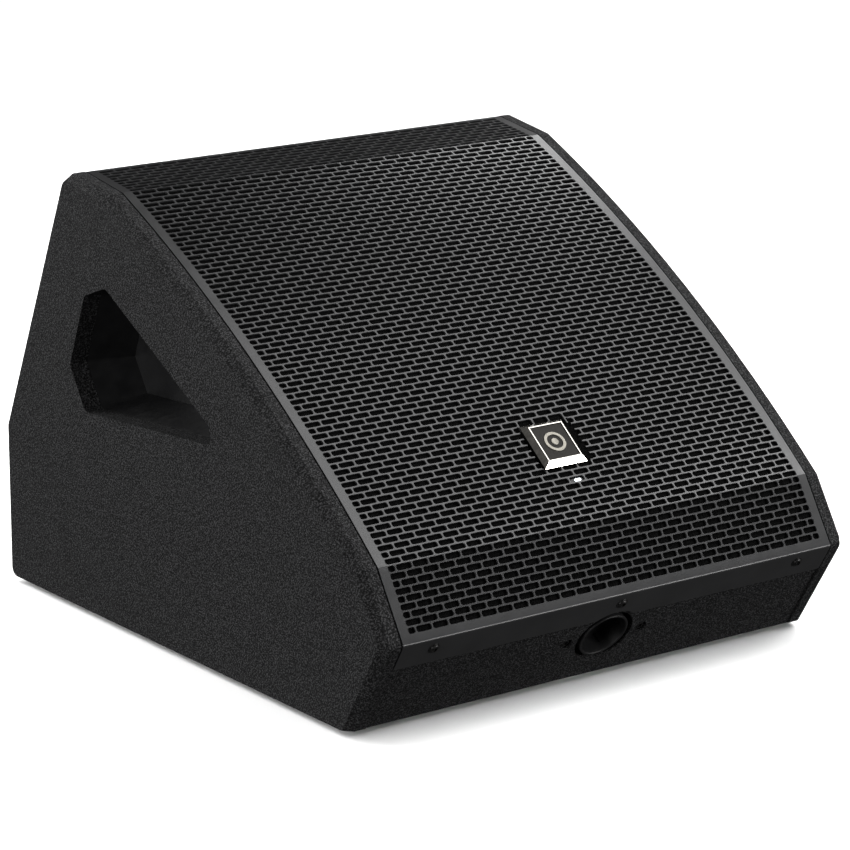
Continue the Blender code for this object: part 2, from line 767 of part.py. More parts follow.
def driver_frame_section():
    """Section of the cast frame: a flange, a sloping wall and a floor ring."""
    mouth, waist, wall = FRAME_MOUTH_RADIUS, FRAME_WAIST_RADIUS, FRAME_WALL
    floor = -FRAME_DEPTH
    return [(FRAME_RADIUS, FRAME_FLANGE), (FRAME_RADIUS, GAP), (mouth, GAP), (mouth, -FRAME_LIP_DEPTH),
            (waist, -FRAME_WAIST_DEPTH), (waist, floor), (FRAME_FLOOR_RADIUS, floor),
            (FRAME_FLOOR_RADIUS, floor + wall), (waist - wall, floor + wall),
            (waist - wall, FRAME_EASE - FRAME_WAIST_DEPTH), (mouth - wall, FRAME_EASE - FRAME_LIP_DEPTH),
            (mouth - wall, FRAME_FLANGE)]


def driver_frame(frame):
    basket = turned("woofer_basket", driver_frame_section(), True, "cast_frame", frame)
    top, bottom = -FRAME_WINDOW_TOP, FRAME_WINDOW_MARGIN - FRAME_WAIST_DEPTH
    for index in range(3):
        name = f"basket_window_{index + 1}"
        bar = extruded(name, rectangle(2.1 * FRAME_RADIUS, FRAME_WINDOW_WIDTH), bottom, top)
        cut(basket, name, bar, frame @ Matrix.Rotation(math.radians(60 * index), 4, "Z"))
    return basket


def driver_motor(frame):
    coil_outer = COIL_RADIUS + COIL_THICKNESS
    gap_outer = coil_outer + COIL_AIR_GAP
    pole_radius = COIL_RADIUS - COIL_AIR_GAP
    plate_top = -FRAME_DEPTH - GAP
    plate_low = plate_top - TOP_PLATE_THICKNESS
    magnet_top = plate_low - GAP
    magnet_low = magnet_top - MAGNET_THICKNESS
    back_top = magnet_low - GAP
    back_low = back_top - BACK_PLATE_THICKNESS
    ring(frame, "top_plate", "zinc_steel", gap_outer, TOP_PLATE_RADIUS, plate_low, plate_top)
    ring(frame, "magnet", "ferrite", MAGNET_BORE_RADIUS, MAGNET_RADIUS, magnet_low, magnet_top)
    yoke = [(THROAT_RADIUS, -FRAME_DEPTH), (pole_radius, -FRAME_DEPTH), (pole_radius, back_top),
            (TOP_PLATE_RADIUS, back_top), (TOP_PLATE_RADIUS, back_low), (THROAT_RADIUS, back_low)]
    turned("back_plate", yoke, True, "zinc_steel", frame)
    hf_top = back_low - GAP
    hf_low = hf_top - HF_LENGTH
    compression = [(0, hf_top), (HF_RADIUS - HF_CHAMFER, hf_top), (HF_RADIUS, hf_top - HF_CHAMFER),
                   (HF_RADIUS, hf_low + HF_SHOULDER), (HF_RADIUS - HF_SHOULDER, hf_low), (0, hf_low)]
    turned("hf_driver", compression, False, "ferrite", frame, 28)


def ring(frame, name, finish, inner, outer, low, high, steps=TURN_STEPS):
    profile = [(inner, high), (outer, high), (outer, low), (inner, low)]
    return turned(name, profile, True, finish, frame, steps)


def driver_cone(frame):
    """Cone and voice coil, which move together, with the roll and spider that hold them."""
    coil_outer = COIL_RADIUS + COIL_THICKNESS
    rim, neck = CONE_RADIUS, coil_outer + CONE_THICKNESS
    bend = neck + (rim - neck) * CONE_BEND_SHARE
    middle = -CONE_NECK_DEPTH / 2
    cone = [(rim, CONE_THICKNESS), (rim, 0.0), (bend, middle),
            (neck, -CONE_NECK_DEPTH), (COIL_RADIUS, -CONE_NECK_DEPTH),
            (bend - 1.6 * CONE_THICKNESS, CONE_THICKNESS + middle),
            (rim - CONE_THICKNESS, CONE_THICKNESS)]
    turned("woofer_cone", cone, True, "paper_cone", frame)
    coil_top = -CONE_NECK_DEPTH - GAP
    ring(frame, "voice_coil", "copper_coil", COIL_RADIUS, coil_outer, coil_top - COIL_LENGTH, coil_top)
    surround(frame)
    spider(frame, coil_outer)


def surround(frame):
    """Half roll from the cone's rim to a landing on the frame's flange."""
    inner = CONE_RADIUS + GAP
    outer = FRAME_MOUTH_RADIUS - FRAME_WALL + ROLL_OVERLAP
    seat = FRAME_FLANGE + GAP
    radius = (outer - inner) / 2
    steps = 6
    upper, lower = [], []
    for step in range(steps + 1):
        angle = math.pi * (1 - step / steps)
        for line, size in ((upper, radius), (lower, radius - ROLL_THICKNESS)):
            line.append((inner + radius + size * math.cos(angle), seat + size * math.sin(angle)))
    landing = outer + ROLL_LANDING
    section = upper[:-1] + [(outer, seat + ROLL_THICKNESS), (landing, seat + ROLL_THICKNESS),
                            (landing, seat)] + lower[::-1]
    turned("surround", section, True, "soft_rubber", frame)


def spider(frame, coil_outer):
    """Corrugated cloth ring between the coil and the frame."""
    inner = coil_outer + CONE_THICKNESS
    outer = FRAME_WAIST_RADIUS - FRAME_WALL - GAP
    waves = 6
    upper, lower = [], []
    for step in range(waves + 1):
        radius = inner + (outer - inner) * step / waves
        height = -SPIDER_DEPTH + SPIDER_WAVE * math.cos(math.pi * step)
        upper.append((radius, height + SPIDER_THICKNESS / 2))
        lower.append((radius, height - SPIDER_THICKNESS / 2))
    turned("spider", upper + lower[::-1], True, "spider_cloth", frame)


def hf_horn(frame):
    """Flared horn that stands on the pole piece, inside the cone."""
    low = GAP - FRAME_DEPTH
    steps = 5
    inside, outside = [], []
    for step in range(steps + 1):
        share = step / steps
        radius = THROAT_RADIUS + (HORN_MOUTH_RADIUS - THROAT_RADIUS) * share ** HORN_FLARE
        z = low + (-HORN_MOUTH_DEPTH - low) * share
        inside.append((radius, z))
        outside.append((radius + HORN_WALL, z))
    turned("hf_horn", outside[::-1] + inside, True, "black_plastic", frame)


def driver_screws(frame, basket, baffle):
    for index in range(4):
        spoke = frame @ Matrix.Rotation(math.radians(45 + 90 * index), 4, "Z")
        place = spoke @ shift(FRAME_SCREW_CIRCLE, 0, 0)
        name = f"woofer_screw_{index + 1}"
        screw(name, "black_screw", place, FRAME_FLANGE + GAP, FRAME_SCREW_LENGTH)
        screw_hole(basket, name + "_basket_bore", place, -CUT_REACH, CUT_REACH)
        screw_hole(baffle, name + "_baffle_bore", place, -FRAME_SCREW_LENGTH, CUT_REACH)


def coaxial_driver(baffle):
    frame = WALLS["baffle_board"].middle @ shift(0, DRIVER_UP, 0)
    hole = cylinder("woofer_hole", FRAME_MOUTH_RADIUS + FRAME_EASE, -2 * BOARD_THICKNESS, BOARD_THICKNESS, 48)
    cut(baffle, "woofer_hole", hole, frame)
    basket = driver_frame(frame)
    driver_motor(frame)
    driver_cone(frame)
    hf_horn(frame)
    driver_screws(frame, basket, baffle)
    return frame


def reflex_ports(baffle):
    outer = PORT_RADIUS + PORT_WALL
    across = INNER_HALF_WIDTH - outer - PORT_EDGE
    for name, x in (("port_tube_left", -across), ("port_tube_right", across)):
        frame = WALLS["baffle_board"].frame @ shift(x, PORT_UP, 0)
        lip = outer + PORT_LIP
        section = [(PORT_RADIUS + PORT_EASE, PORT_WALL), (lip, PORT_WALL), (lip, GAP), (outer, GAP),
                   (outer, -PORT_LENGTH), (PORT_RADIUS, -PORT_LENGTH), (PORT_RADIUS, 0.0)]
        turned(name, section, True, "black_plastic", frame, 28)
        hole = cylinder(name + "_hole", outer + GAP, -2 * BOARD_THICKNESS, BOARD_THICKNESS, 28)
        cut(baffle, name + "_hole", hole, frame)


# ---------------------------------------------------------------- amplifier

class Amplifier:
    """Places on the amplifier plate, in the frame of its middle."""

    def __init__(self, wall):
        self.frame = wall.middle
        self.length = wall.length - 2 * PLATE_END_MARGIN
        self.face = GAP + PLATE_THICKNESS
        self.seat = self.face + GAP
        self.control_row = -self.length / 2 + CONTROL_ROW_INSET
        self.socket_row = self.length / 2 - SOCKET_ROW_INSET
        self.gain_row = (self.control_row + self.socket_row) / 2

    def at(self, x, y):
        return self.frame @ shift(x, y, 0)


def plate_cut(plate, name, outline, frame):
    cut(plate, name, extruded(name, outline, -CUT_REACH, CUT_REACH), frame)


def amplifier_plate(amp, panel):
    outline = rectangle(PLATE_WIDTH, amp.length, PLATE_CORNER)
    plate = add_part("amp_plate", extruded("amp_plate", outline, GAP, amp.face), "black_anodised", amp.frame)
    opening = rectangle(PLATE_WIDTH - 2 * PLATE_OVERLAP, amp.length - 2 * PLATE_OVERLAP, PLATE_CORNER)
    cut(panel, "amp_opening", extruded("amp_opening", opening, -2 * BOARD_THICKNESS, CUT_REACH), amp.frame)
    return plate


def socket(name, amp, plate, x, notched):
    """Panel socket: a flange, a barrel through the plate and a round bore."""
    frame = amp.at(x, amp.socket_row)
    top = amp.seat + SOCKET_FLANGE
    outline = rectangle(SOCKET_WIDTH, SOCKET_LENGTH, SOCKET_CORNER)
    body = add_part(name, extruded(name, outline, amp.seat, top), "black_plastic", frame)
    barrel = cylinder(name + "_barrel", SOCKET_BARREL_RADIUS, -SOCKET_BARREL_DEPTH, top - GAP)
    boolean(body, add_cutter(name + "_barrel", barrel, frame), "UNION")
    bore = cylinder(name + "_bore", SOCKET_BORE_RADIUS, -SOCKET_BORE_DEPTH, CUT_REACH)
    cut(body, name + "_bore", bore, frame)
    hole = cylinder(name + "_hole", SOCKET_BARREL_RADIUS + GAP, -CUT_REACH, CUT_REACH)
    cut(plate, name + "_hole", hole, frame)
    if notched:
        slot = rectangle(LATCH_WIDTH + 2 * GAP, LATCH_LENGTH + 2 * GAP)
        place = frame @ shift(0, -LATCH_UP, 0)
        cut(body, name + "_notch", extruded(name + "_notch", slot, amp.seat - GAP / 2, CUT_REACH), place)


def release_latch(name, amp, x):
    """Small tab above a combo socket, which is pressed in to free the plug."""
    frame = amp.at(x, amp.socket_row - LATCH_UP)
    low = amp.seat + LATCH_LIFT
    tab = extruded(name, rectangle(LATCH_WIDTH, LATCH_LENGTH, LATCH_CORNER), low, low + LATCH_HEIGHT)
    add_part(name, tab, "grey_sleeve", frame)


def gain_knob(name, amp, plate, x):
    frame = amp.at(x, amp.gain_row)
    low = amp.face + KNOB_LIFT
    high = low + GAIN_HEIGHT
    profile = [(0, high), (GAIN_RADIUS - KNOB_EDGE, high), (GAIN_RADIUS, high - KNOB_EDGE),
               (GAIN_RADIUS, low), (STEM_RADIUS, low), (STEM_RADIUS, -STEM_DEPTH), (0, -STEM_DEPTH)]
    turned(name, profile, False, "black_plastic", frame, 24)
    hole = cylinder(name + "_hole", STEM_RADIUS + STEM_CLEARANCE, -CUT_REACH, CUT_REACH, 16)
    cut(plate, name + "_hole", hole, frame)


def menu_encoder(amp, plate):
    """Push-and-turn encoder: its shaft slides, and the knob turns on the shaft."""
    frame = amp.at(MENU_X, amp.control_row)
    low = amp.face + KNOB_LIFT
    high = low + MENU_HEIGHT
    shaft_top = high - MENU_CAP
    shaft = [(0, shaft_top), (STEM_RADIUS, shaft_top), (STEM_RADIUS, -STEM_DEPTH), (0, -STEM_DEPTH)]
    turned("menu_shaft", shaft, False, "zinc_steel", frame, 16)
    bore = STEM_RADIUS + GAP
    roof = shaft_top + GAP
    knob = [(0, high), (MENU_RADIUS - KNOB_EDGE, high), (MENU_RADIUS, high - KNOB_EDGE), (MENU_RADIUS, low),
            (bore, low), (bore, roof), (0, roof)]
    turned("menu_knob", knob, False, "black_plastic", frame, 28)
    hole = cylinder("menu_shaft_hole", STEM_RADIUS + STEM_CLEARANCE, -CUT_REACH, CUT_REACH, 16)
    cut(plate, "menu_shaft_hole", hole, frame)


def display(amp):
    frame = amp.at((COMBO_X[0] + COMBO_X[1]) / 2, amp.control_row)
    pane = extruded("display_window", rectangle(DISPLAY_WIDTH, DISPLAY_LENGTH, DISPLAY_CORNER), amp.seat,
                    amp.seat + DISPLAY_HEIGHT)
    add_part("display_window", pane, "display", frame)


def mains_inlet(amp, plate):
    frame = amp.at(INLET_X, amp.socket_row)
    flange = extruded("mains_inlet", rectangle(INLET_WIDTH, INLET_LENGTH, INLET_CORNER), amp.seat,
                      amp.seat + SOCKET_FLANGE)
    inlet = add_part("mains_inlet", flange, "black_plastic", frame)
    body_outline = rectangle(INLET_BODY_WIDTH, INLET_BODY_LENGTH)
    body = extruded("inlet_body", body_outline, -INLET_DEPTH, amp.seat + GAP)
    boolean(inlet, add_cutter("inlet_body", body, frame), "UNION")
    cavity = extruded("inlet_cavity", rectangle(INLET_CAVITY_WIDTH, INLET_CAVITY_LENGTH, INLET_CAVITY_CORNER),
                      -INLET_CAVITY_DEPTH, CUT_REACH)
    cut(inlet, "inlet_cavity", cavity, frame)
    hole = rectangle(INLET_BODY_WIDTH + 2 * GAP, INLET_BODY_LENGTH + 2 * GAP)
    plate_cut(plate, "inlet_hole", hole, frame)


def power_switch(amp, plate):
    """Rocker switch: a frame through the plate and a rocker on its own pivot."""
    frame = amp.at(INLET_X, amp.socket_row - ROCKER_UP)
    window_width = ROCKER_WIDTH + 2 * ROCKER_CLEARANCE
    window_length = 2 * (ROCKER_RADIUS + ROCKER_CLEARANCE)
    body_width = window_width + 2 * ROCKER_FRAME_WALL
    body_length = window_length + 2 * ROCKER_FRAME_WALL
    flange = rectangle(body_width + 2 * ROCKER_FRAME_WALL, body_length + 2 * ROCKER_FRAME_WALL,
                       ROCKER_FRAME_CORNER)
    top = amp.seat + ROCKER_FRAME_FLANGE
    surround_part = add_part("rocker_frame", extruded("rocker_frame", flange, amp.seat, top),
                             "black_plastic", frame)
    sleeve = extruded("rocker_sleeve", rectangle(body_width, body_length), -ROCKER_FRAME_DEPTH, top - GAP)
    boolean(surround_part, add_cutter("rocker_sleeve", sleeve, frame), "UNION")
    window = extruded("rocker_window", rectangle(window_width, window_length), -2 * CUT_REACH, CUT_REACH)
    cut(surround_part, "rocker_window", window, frame)
    plate_cut(plate, "rocker_hole", rectangle(body_width + 2 * GAP, body_length + 2 * GAP), frame)
    pivot = frame @ shift(0, 0, -ROCKER_PIVOT_DEPTH) @ Matrix.Rotation(math.radians(-ROCKER_TILT), 4, "X")
    half = ROCKER_WIDTH / 2
    add_part("power_rocker", extruded("power_rocker", rocker_section(), -half, half), "black_plastic",
             pivot @ SIDEWAYS)


def rocker_section():
    """Section of the rocker about its pivot: round ends, a flat underside and a shallow valley on top."""
    low, high = ROCKER_ARC
    angles = [low + (high - low) * step / ROCKER_STEPS for step in range(ROCKER_STEPS + 1)]
    right = [Vector((math.cos(math.radians(a)), math.sin(math.radians(a)))) * ROCKER_RADIUS for a in angles]
    left = [Vector((-point.x, point.y)) for point in reversed(right)]
    return right + [Vector((0, ROCKER_VALLEY))] + left


def heat_sink(amp):
    """Finned extrusion on the plate, its fins running down the board."""
    length = amp.length - 2 * SINK_END_MARGIN
    low = amp.seat
    floor, top = low + SINK_BASE, low + SINK_HEIGHT
    half = SINK_PITCH * (SINK_FINS - 1) / 2 + SINK_FIN / 2
    outline = [(half, low), (half, top)]
    for fin in range(SINK_FINS - 1):
        left = half - SINK_FIN - fin * SINK_PITCH
        right = left + SINK_FIN - SINK_PITCH
        outline += [(left, top), (left, floor), (right, floor), (right, top)]
    outline += [(-half, top), (-half, low)]
    mesh = extruded("heat_sink", outline, -length / 2, length / 2)
    upright = amp.at(SINK_X, 0) @ Matrix.Rotation(math.radians(90), 4, "X")
    add_part("heat_sink", mesh, "black_anodised", upright)


def circuit_boards(amp):
    length = amp.length - 2 * CIRCUIT_END_MARGIN
    for name, x in (("input_board", BOARD_X), ("power_board", -BOARD_X)):
        board = extruded(name, rectangle(CIRCUIT_WIDTH, length), -CIRCUIT_DEPTH,
                         CIRCUIT_THICKNESS - CIRCUIT_DEPTH)
        add_part(name, board, "circuit", amp.at(x, 0))
    under = -CIRCUIT_DEPTH - GAP
    ring(amp.at(-BOARD_X, 0), "transformer", "copper_coil", TRANSFORMER_BORE_SHARE * TRANSFORMER_RADIUS,
         TRANSFORMER_RADIUS, under - TRANSFORMER_HEIGHT, under, 24)


def amplifier(panel):
    amp = Amplifier(WALLS["rear_upper_panel"])
    plate = amplifier_plate(amp, panel)
    for index, x in enumerate(COMBO_X, 1):
        socket(f"combo_socket_{index}", amp, plate, x, True)
        release_latch(f"combo_latch_{index}", amp, x)
        gain_knob(f"gain_knob_{index}", amp, plate, x)
    socket("link_socket", amp, plate, LINK_X, False)
    menu_encoder(amp, plate)
    display(amp)
    mains_inlet(amp, plate)
    power_switch(amp, plate)
    heat_sink(amp)
    circuit_boards(amp)
    return amp


def speaker_cable(amp, driver):
    """Cable from the input board to the side of the driver's frame, on one smooth curve."""
    waist = shift(0, 0, -FRAME_WAIST_DEPTH)
    exit_place = amp.at(BOARD_X, CABLE_EXIT_Y)
    start = exit_place @ Vector((0, 0, -CIRCUIT_DEPTH - GAP))
    leaving = exit_place @ Vector((0, 0, -CIRCUIT_DEPTH - CABLE_DROP))
    end = driver @ waist @ Vector(CABLE_END)
    arriving = driver @ waist @ Vector(CABLE_APPROACH)
    curve = bpy.data.curves.new("speaker_cable", "CURVE")
    curve.dimensions = "3D"
    curve.bevel_depth = CABLE_RADIUS
    curve.bevel_resolution = 2
    curve.use_fill_caps = True
    spline = curve.splines.new("POLY")
    spline.points.add(CABLE_POINTS - 1)
    for index in range(CABLE_POINTS):
        t = index / (CABLE_POINTS - 1)
        s = 1 - t
        point = start * s ** 3 + leaving * 3 * s * s * t + arriving * 3 * s * t * t + end * t ** 3
        spline.points[index].co = (*point, 1)
    add_part("speaker_cable", curve, "grey_sleeve", Matrix.Identity(4))


# ---------------------------------------------------------------- the whole monitor

def build():
    panels = {name: wall.build() for name, wall in WALLS.items()}
    for side, word in ((-1, "left"), (1, "right")):
        side_panel(f"side_panel_{word}", side)
        handle_cup(f"handle_cup_{word}", side)
    front = panels["front_lower_panel"]
    baffle = panels["baffle_board"]
    cup_frame = WALLS["front_lower_panel"].frame @ shift(0, CUP_UP, 0)
    grille(cup_frame)
    grille_screws((front, panels["lower_rail"]))
    foam = grille_foam()
    badge()
    light_pipe(foam)
    pole_cup(front, cup_frame)
    feet()
    driver = coaxial_driver(baffle)
    reflex_ports(baffle)
    amp = amplifier(panels["rear_upper_panel"])
    speaker_cable(amp, driver)


clear_scene()
PARTS = new_collection("stage_monitor_wedge")
CUTTERS = new_collection("cutters")
INNER_HALF_WIDTH = WIDTH / 2 - SIDE_THICKNESS
GRILLE_HALF_WIDTH = INNER_HALF_WIDTH - GRILLE_SIDE_GAP
PROFILE = profile_points()
FACE = BowedFace(PROFILE["lip"], PROFILE["brow"], FACE_CROWN)
WALLS = cabinet_walls()
STAND = bpy.data.objects.new("stand_point", None)
PARTS.objects.link(STAND)
OUTLINE_Y = [point.x for point in side_outline()]
STAND.location = (0, -(min(OUTLINE_Y) + max(OUTLINE_Y)) / 2, FOOT_HEIGHT)
build()
bpy.context.view_layer.update()
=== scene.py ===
"""Stage monitor wedge: the finished look of the loudspeaker, built over its fixed frame."""
import json
import math
from bisect import bisect_right

import bmesh
import bpy
from bpy.props import FloatProperty, FloatVectorProperty, IntProperty, PointerProperty
from mathutils import Matrix, Vector


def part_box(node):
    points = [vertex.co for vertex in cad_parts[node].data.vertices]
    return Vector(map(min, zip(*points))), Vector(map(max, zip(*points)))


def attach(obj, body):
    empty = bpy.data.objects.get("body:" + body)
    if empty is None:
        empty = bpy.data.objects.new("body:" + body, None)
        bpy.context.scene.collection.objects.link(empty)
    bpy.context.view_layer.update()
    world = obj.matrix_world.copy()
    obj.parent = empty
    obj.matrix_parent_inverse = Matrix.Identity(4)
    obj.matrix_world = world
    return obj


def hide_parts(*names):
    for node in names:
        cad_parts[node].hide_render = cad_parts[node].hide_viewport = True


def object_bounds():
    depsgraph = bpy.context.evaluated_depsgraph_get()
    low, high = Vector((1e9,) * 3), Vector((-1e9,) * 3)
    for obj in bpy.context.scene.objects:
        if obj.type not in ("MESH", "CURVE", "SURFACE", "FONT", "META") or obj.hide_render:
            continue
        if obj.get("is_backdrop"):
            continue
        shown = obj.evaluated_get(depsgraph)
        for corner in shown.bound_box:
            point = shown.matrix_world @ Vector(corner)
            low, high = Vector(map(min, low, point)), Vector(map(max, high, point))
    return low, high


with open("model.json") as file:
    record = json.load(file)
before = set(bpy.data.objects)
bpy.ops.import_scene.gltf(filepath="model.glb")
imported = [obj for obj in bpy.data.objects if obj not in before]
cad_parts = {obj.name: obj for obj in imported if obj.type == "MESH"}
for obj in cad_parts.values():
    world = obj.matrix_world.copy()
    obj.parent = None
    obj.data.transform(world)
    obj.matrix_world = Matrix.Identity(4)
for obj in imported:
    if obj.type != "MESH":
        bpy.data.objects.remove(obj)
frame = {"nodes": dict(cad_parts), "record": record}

bl_info = {
    "name": "Stage Monitor Wedge",
    "version": (1, 0, 0),
    "blender": (4, 5, 0),
    "location": "View3D > Sidebar > Monitor",
    "description": "Perforated grille, fittings, finishes and studio for a stage monitor wedge",
    "category": "Object",
}

CABINET = "cabinet"
CAD_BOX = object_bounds()

# Depth of the cabinet at its underside
BASE_DEPTH = 0.483
# Side outline of the cabinet, in metres back from its front foot edge and up from its underside
SIDE_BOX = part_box("side_panel_left")
OUTLINE = {
    "base_front": (0.0, 0.0),
    "board_start": (0.0018, 0.0),
    "nose": (-0.0475, 0.0725),
    "lip": (-0.018, 0.122),
    "brow": (0.310, 0.3355),
    "top_back": (0.368, 0.345),
    "waist": (0.478, 0.1255),
}
# The grille: crown of its bowed face, half its width, and the lengths of its flange and hem
FACE_CROWN = 0.0145
GRILLE_HALF_WIDTH = 0.1938
FLANGE_LENGTH = 0.0245
HEM_GAP = 0.004
HEM_DEPTH = 0.0161
# Pole cup and grille screws, up from the lower edge of the front board
CUP_UP = 0.0415
GRILLE_SCREW_UP = 0.078
# Amplifier plate, and the rows and columns of its fittings from its middle
PLATE_LENGTH = 0.2085
PLATE_WIDTH = 0.290
PLATE_FACE = 0.00125
CONTROL_ROW = 0.034 - PLATE_LENGTH / 2
SOCKET_ROW = PLATE_LENGTH / 2 - 0.040
GAIN_ROW = (CONTROL_ROW + SOCKET_ROW) / 2
COMBO_X = (0.112, 0.076)
LINK_X = 0.038
MENU_X = 0.030
INLET_X = -0.008
ROCKER_ROW = SOCKET_ROW - 0.046


# ---------------------------------------------------------------- settings

def length(name, description, default, smallest=0.0):
    return FloatProperty(name=name, description=description, default=default, min=smallest,
                         subtype="DISTANCE", unit="LENGTH", precision=5)


def turn(name, description, degrees):
    return FloatProperty(name=name, description=description, default=math.radians(degrees),
                         subtype="ANGLE", unit="ROTATION")


def power(name, description, watts):
    return FloatProperty(name=name, description=description, default=watts, min=0.0,
                         subtype="POWER", unit="POWER")


def paint(name, description, default):
    return FloatVectorProperty(name=name, description=description, default=default, size=3,
                               min=0.0, max=1.0, subtype="COLOR")


class FinishSettings(bpy.types.PropertyGroup):
    """Colours of the cabinet, the grille and the trim."""
    cabinet: paint("Cabinet", "Speckled textured paint on the boards", (0.022, 0.022, 0.0226))
    grille: paint("Grille", "Satin powder coat on the steel sheet", (0.030, 0.030, 0.031))
    # The foam is black, but its colour is set darker still so the slots stay dark under the lamps: partly
    # painted shade behind the grille
    foam: paint("Foam", "Open-cell foam behind the grille", (0.004, 0.004, 0.004))
    plastic: paint("Plastic", "Moulded fittings", (0.010, 0.010, 0.0105))
    trim: paint("Trim", "Polished badge edge", (0.78, 0.75, 0.69))
    light: paint("Status light", "Light behind the grille", (0.90, 0.96, 1.0))


# Plain strips beside the sheet's first and last fold, as parts of the fold radius
NOSE_STRIP = 0.62
BACK_STRIP = 0.70
# Straight pieces that make up each fold's strip, and the curve of the cut-out round the pole cup
STRIP_STEPS = 6
NOTCH_STEPS = 20
# Step along the sheet that gives its direction at a place
TANGENT_STEP = 0.001


class GrilleSettings(bpy.types.PropertyGroup):
    """Sheet and perforation of the grille."""
    thickness: length("Thickness", "Thickness of the steel sheet", 0.0012, 0.0005)
    fold_radius: length("Fold radius", "Outer radius where the sheet is folded", 0.0024, 0.0005)
    fold_half: length("Fold half width", "Plain strip on each side of a fold", 0.00045, 0.0002)
    slot_length: length("Slot length", "Length of a slot across the cabinet", 0.0128, 0.002)
    slot_height: length("Slot height", "Height of a slot along the sheet", 0.0045, 0.001)
    slot_corner: length("Slot corner", "Corner radius of a slot", 0.0016, 0.0002)
    pitch: length("Pitch across", "Distance between slots in a row", 0.01385, 0.004)
    half_columns: IntProperty(name="Half columns", description="Half slots across the sheet",
                              default=54, min=2)
    lower_rows: IntProperty(name="Lower rows", description="Rows under the lower fold", default=9, min=1)
    main_rows: IntProperty(name="Main rows", description="Rows on the bowed face", default=70, min=1)
    upper_rows: IntProperty(name="Upper rows", description="Rows over the upper fold", default=9, min=1)
    window_half: length("Window half width", "Half width of the opening behind the badge", 0.0233)
    window_low: IntProperty(name="Window low", description="Row cut open under the badge", default=8)
    window_high: IntProperty(name="Window high", description="Row cut open over the badge", default=16)
    strut_length: length("Strut length", "Reach of the struts down behind the badge", 0.0045)
    cut_margin: length("Cut margin", "Cut's distance from a slot's middle line", 0.0002)
    notch_radius: length("Notch radius", "Cut-out of the flange around the pole cup", 0.0275)


class BadgeSettings(bpy.types.PropertyGroup):
    """Bevelled badge and status light on the grille."""
    width: length("Width", "Width of the badge", 0.038)
    height: length("Height", "Height of the badge along the grille", 0.040)
    rise: length("Rise", "Height of the badge over the sheet", 0.0043)
    bevel: length("Bevel", "Width of the sloping edge", 0.0040)
    rim: length("Rim", "Width of the flat rim", 0.0007)
    up: length("Up", "Centre of the badge up from the lower fold", 0.0688)
    across: length("Across", "Centre of the badge from the middle of the grille", -0.0025, -0.05)
    light_up: length("Light up", "Status light up from the lower fold", 0.0360)


class FittingSettings(bpy.types.PropertyGroup):
    """Screws, knobs, sockets and feet."""
    screw_radius: length("Screw head", "Radius of a flange screw's head", 0.0037)
    small_screw: length("Small screw head", "Radius of a plate screw's head", 0.0028)
    bore_radius: length("Pole bore", "Radius of the pole cup's bore", 0.0185)
    cup_wall: length("Cup wall", "Thickness of the pole cup's wall", 0.002)
    cup_depth: length("Cup depth", "Depth of the pole cup", 0.062)
    gain_radius: length("Gain knob", "Radius of a gain knob", 0.0075)
    menu_radius: length("Menu knob", "Radius of the menu knob", 0.011)


class StudioSettings(bpy.types.PropertyGroup):
    """Camera, floor and lamps."""
    azimuth: turn("Azimuth", "Camera's turn to the left of the front", 35.02)
    elevation: turn("Elevation", "Camera's height over the level", 14.543)
    roll: turn("Roll", "Camera's roll", -0.988)
    distance: length("Distance", "Camera's distance from its aim", 2.514858, 0.5)
    lens: FloatProperty(name="Lens", description="Focal length", default=146.014, min=20.0,
                        subtype="DISTANCE_CAMERA")
    aim: FloatVectorProperty(name="Aim", description="Point in the middle of the view", size=3,
                             default=(-0.0672, -0.1148, 0.1827), subtype="TRANSLATION", unit="LENGTH")
    floor: paint("Floor", "Plain studio floor", (0.90, 0.90, 0.90))
    key_power: power("Key", "Power of the large softbox over the grille", 31.0)
    crest_power: power("Crest", "Power of the small lamp over the upper right corner", 18.0)
    edge_power: power("Edge", "Power of the low strip at the right front", 24.0)
    fold_power: power("Fold", "Power of the narrow strip that lights the lower fold", 7.0)
    fill_power: power("Fill", "Power of the broad lamp at the left side", 42.0)
    back_power: power("Back", "Power of the broad lamp behind the cabinet", 45.0)
    floor_power: FloatProperty(name="Floor light", description="Strength of the light on the floor alone",
                               default=3.0, min=0.0)
    sky: FloatProperty(name="Sky", description="Strength of the even light from all round",
                       default=0.06, min=0.0)


SETTINGS = {
    "monitor_finish": FinishSettings,
    "monitor_grille": GrilleSettings,
    "monitor_badge": BadgeSettings,
    "monitor_fitting": FittingSettings,
    "monitor_studio": StudioSettings,
}


# ---------------------------------------------------------------- places on the cabinet

def outline_point(name):
    back, up = OUTLINE[name]
    return Vector((SIDE_BOX[1][1] - BASE_DEPTH + back, SIDE_BOX[0][2] + up))


def face_frame(point, direction):
    """Frame at a point of the side outline: X across, Y along the outline, Z out of the cabinet."""
    angle = math.atan2(direction.y, direction.x)
    return Matrix.Translation((0, point.x, point.y)) @ Matrix.Rotation(angle, 4, "X")


def moved(place, x=0.0, y=0.0, z=0.0):
    return place @ Matrix.Translation((x, y, z))


def board_frame():
    """Frame on the lower front board, at its lower edge."""
    return face_frame(outline_point("board_start"), outline_point("nose") - outline_point("base_front"))


def plate_frame():
    """Frame on the outer face of the amplifier plate, Y down the board."""
    low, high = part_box("amp_plate")
    middle = Vector(((low[1] + high[1]) / 2, (low[2] + high[2]) / 2))
    return moved(face_frame(middle, outline_point("waist") - outline_point("top_back")), z=PLATE_FACE)


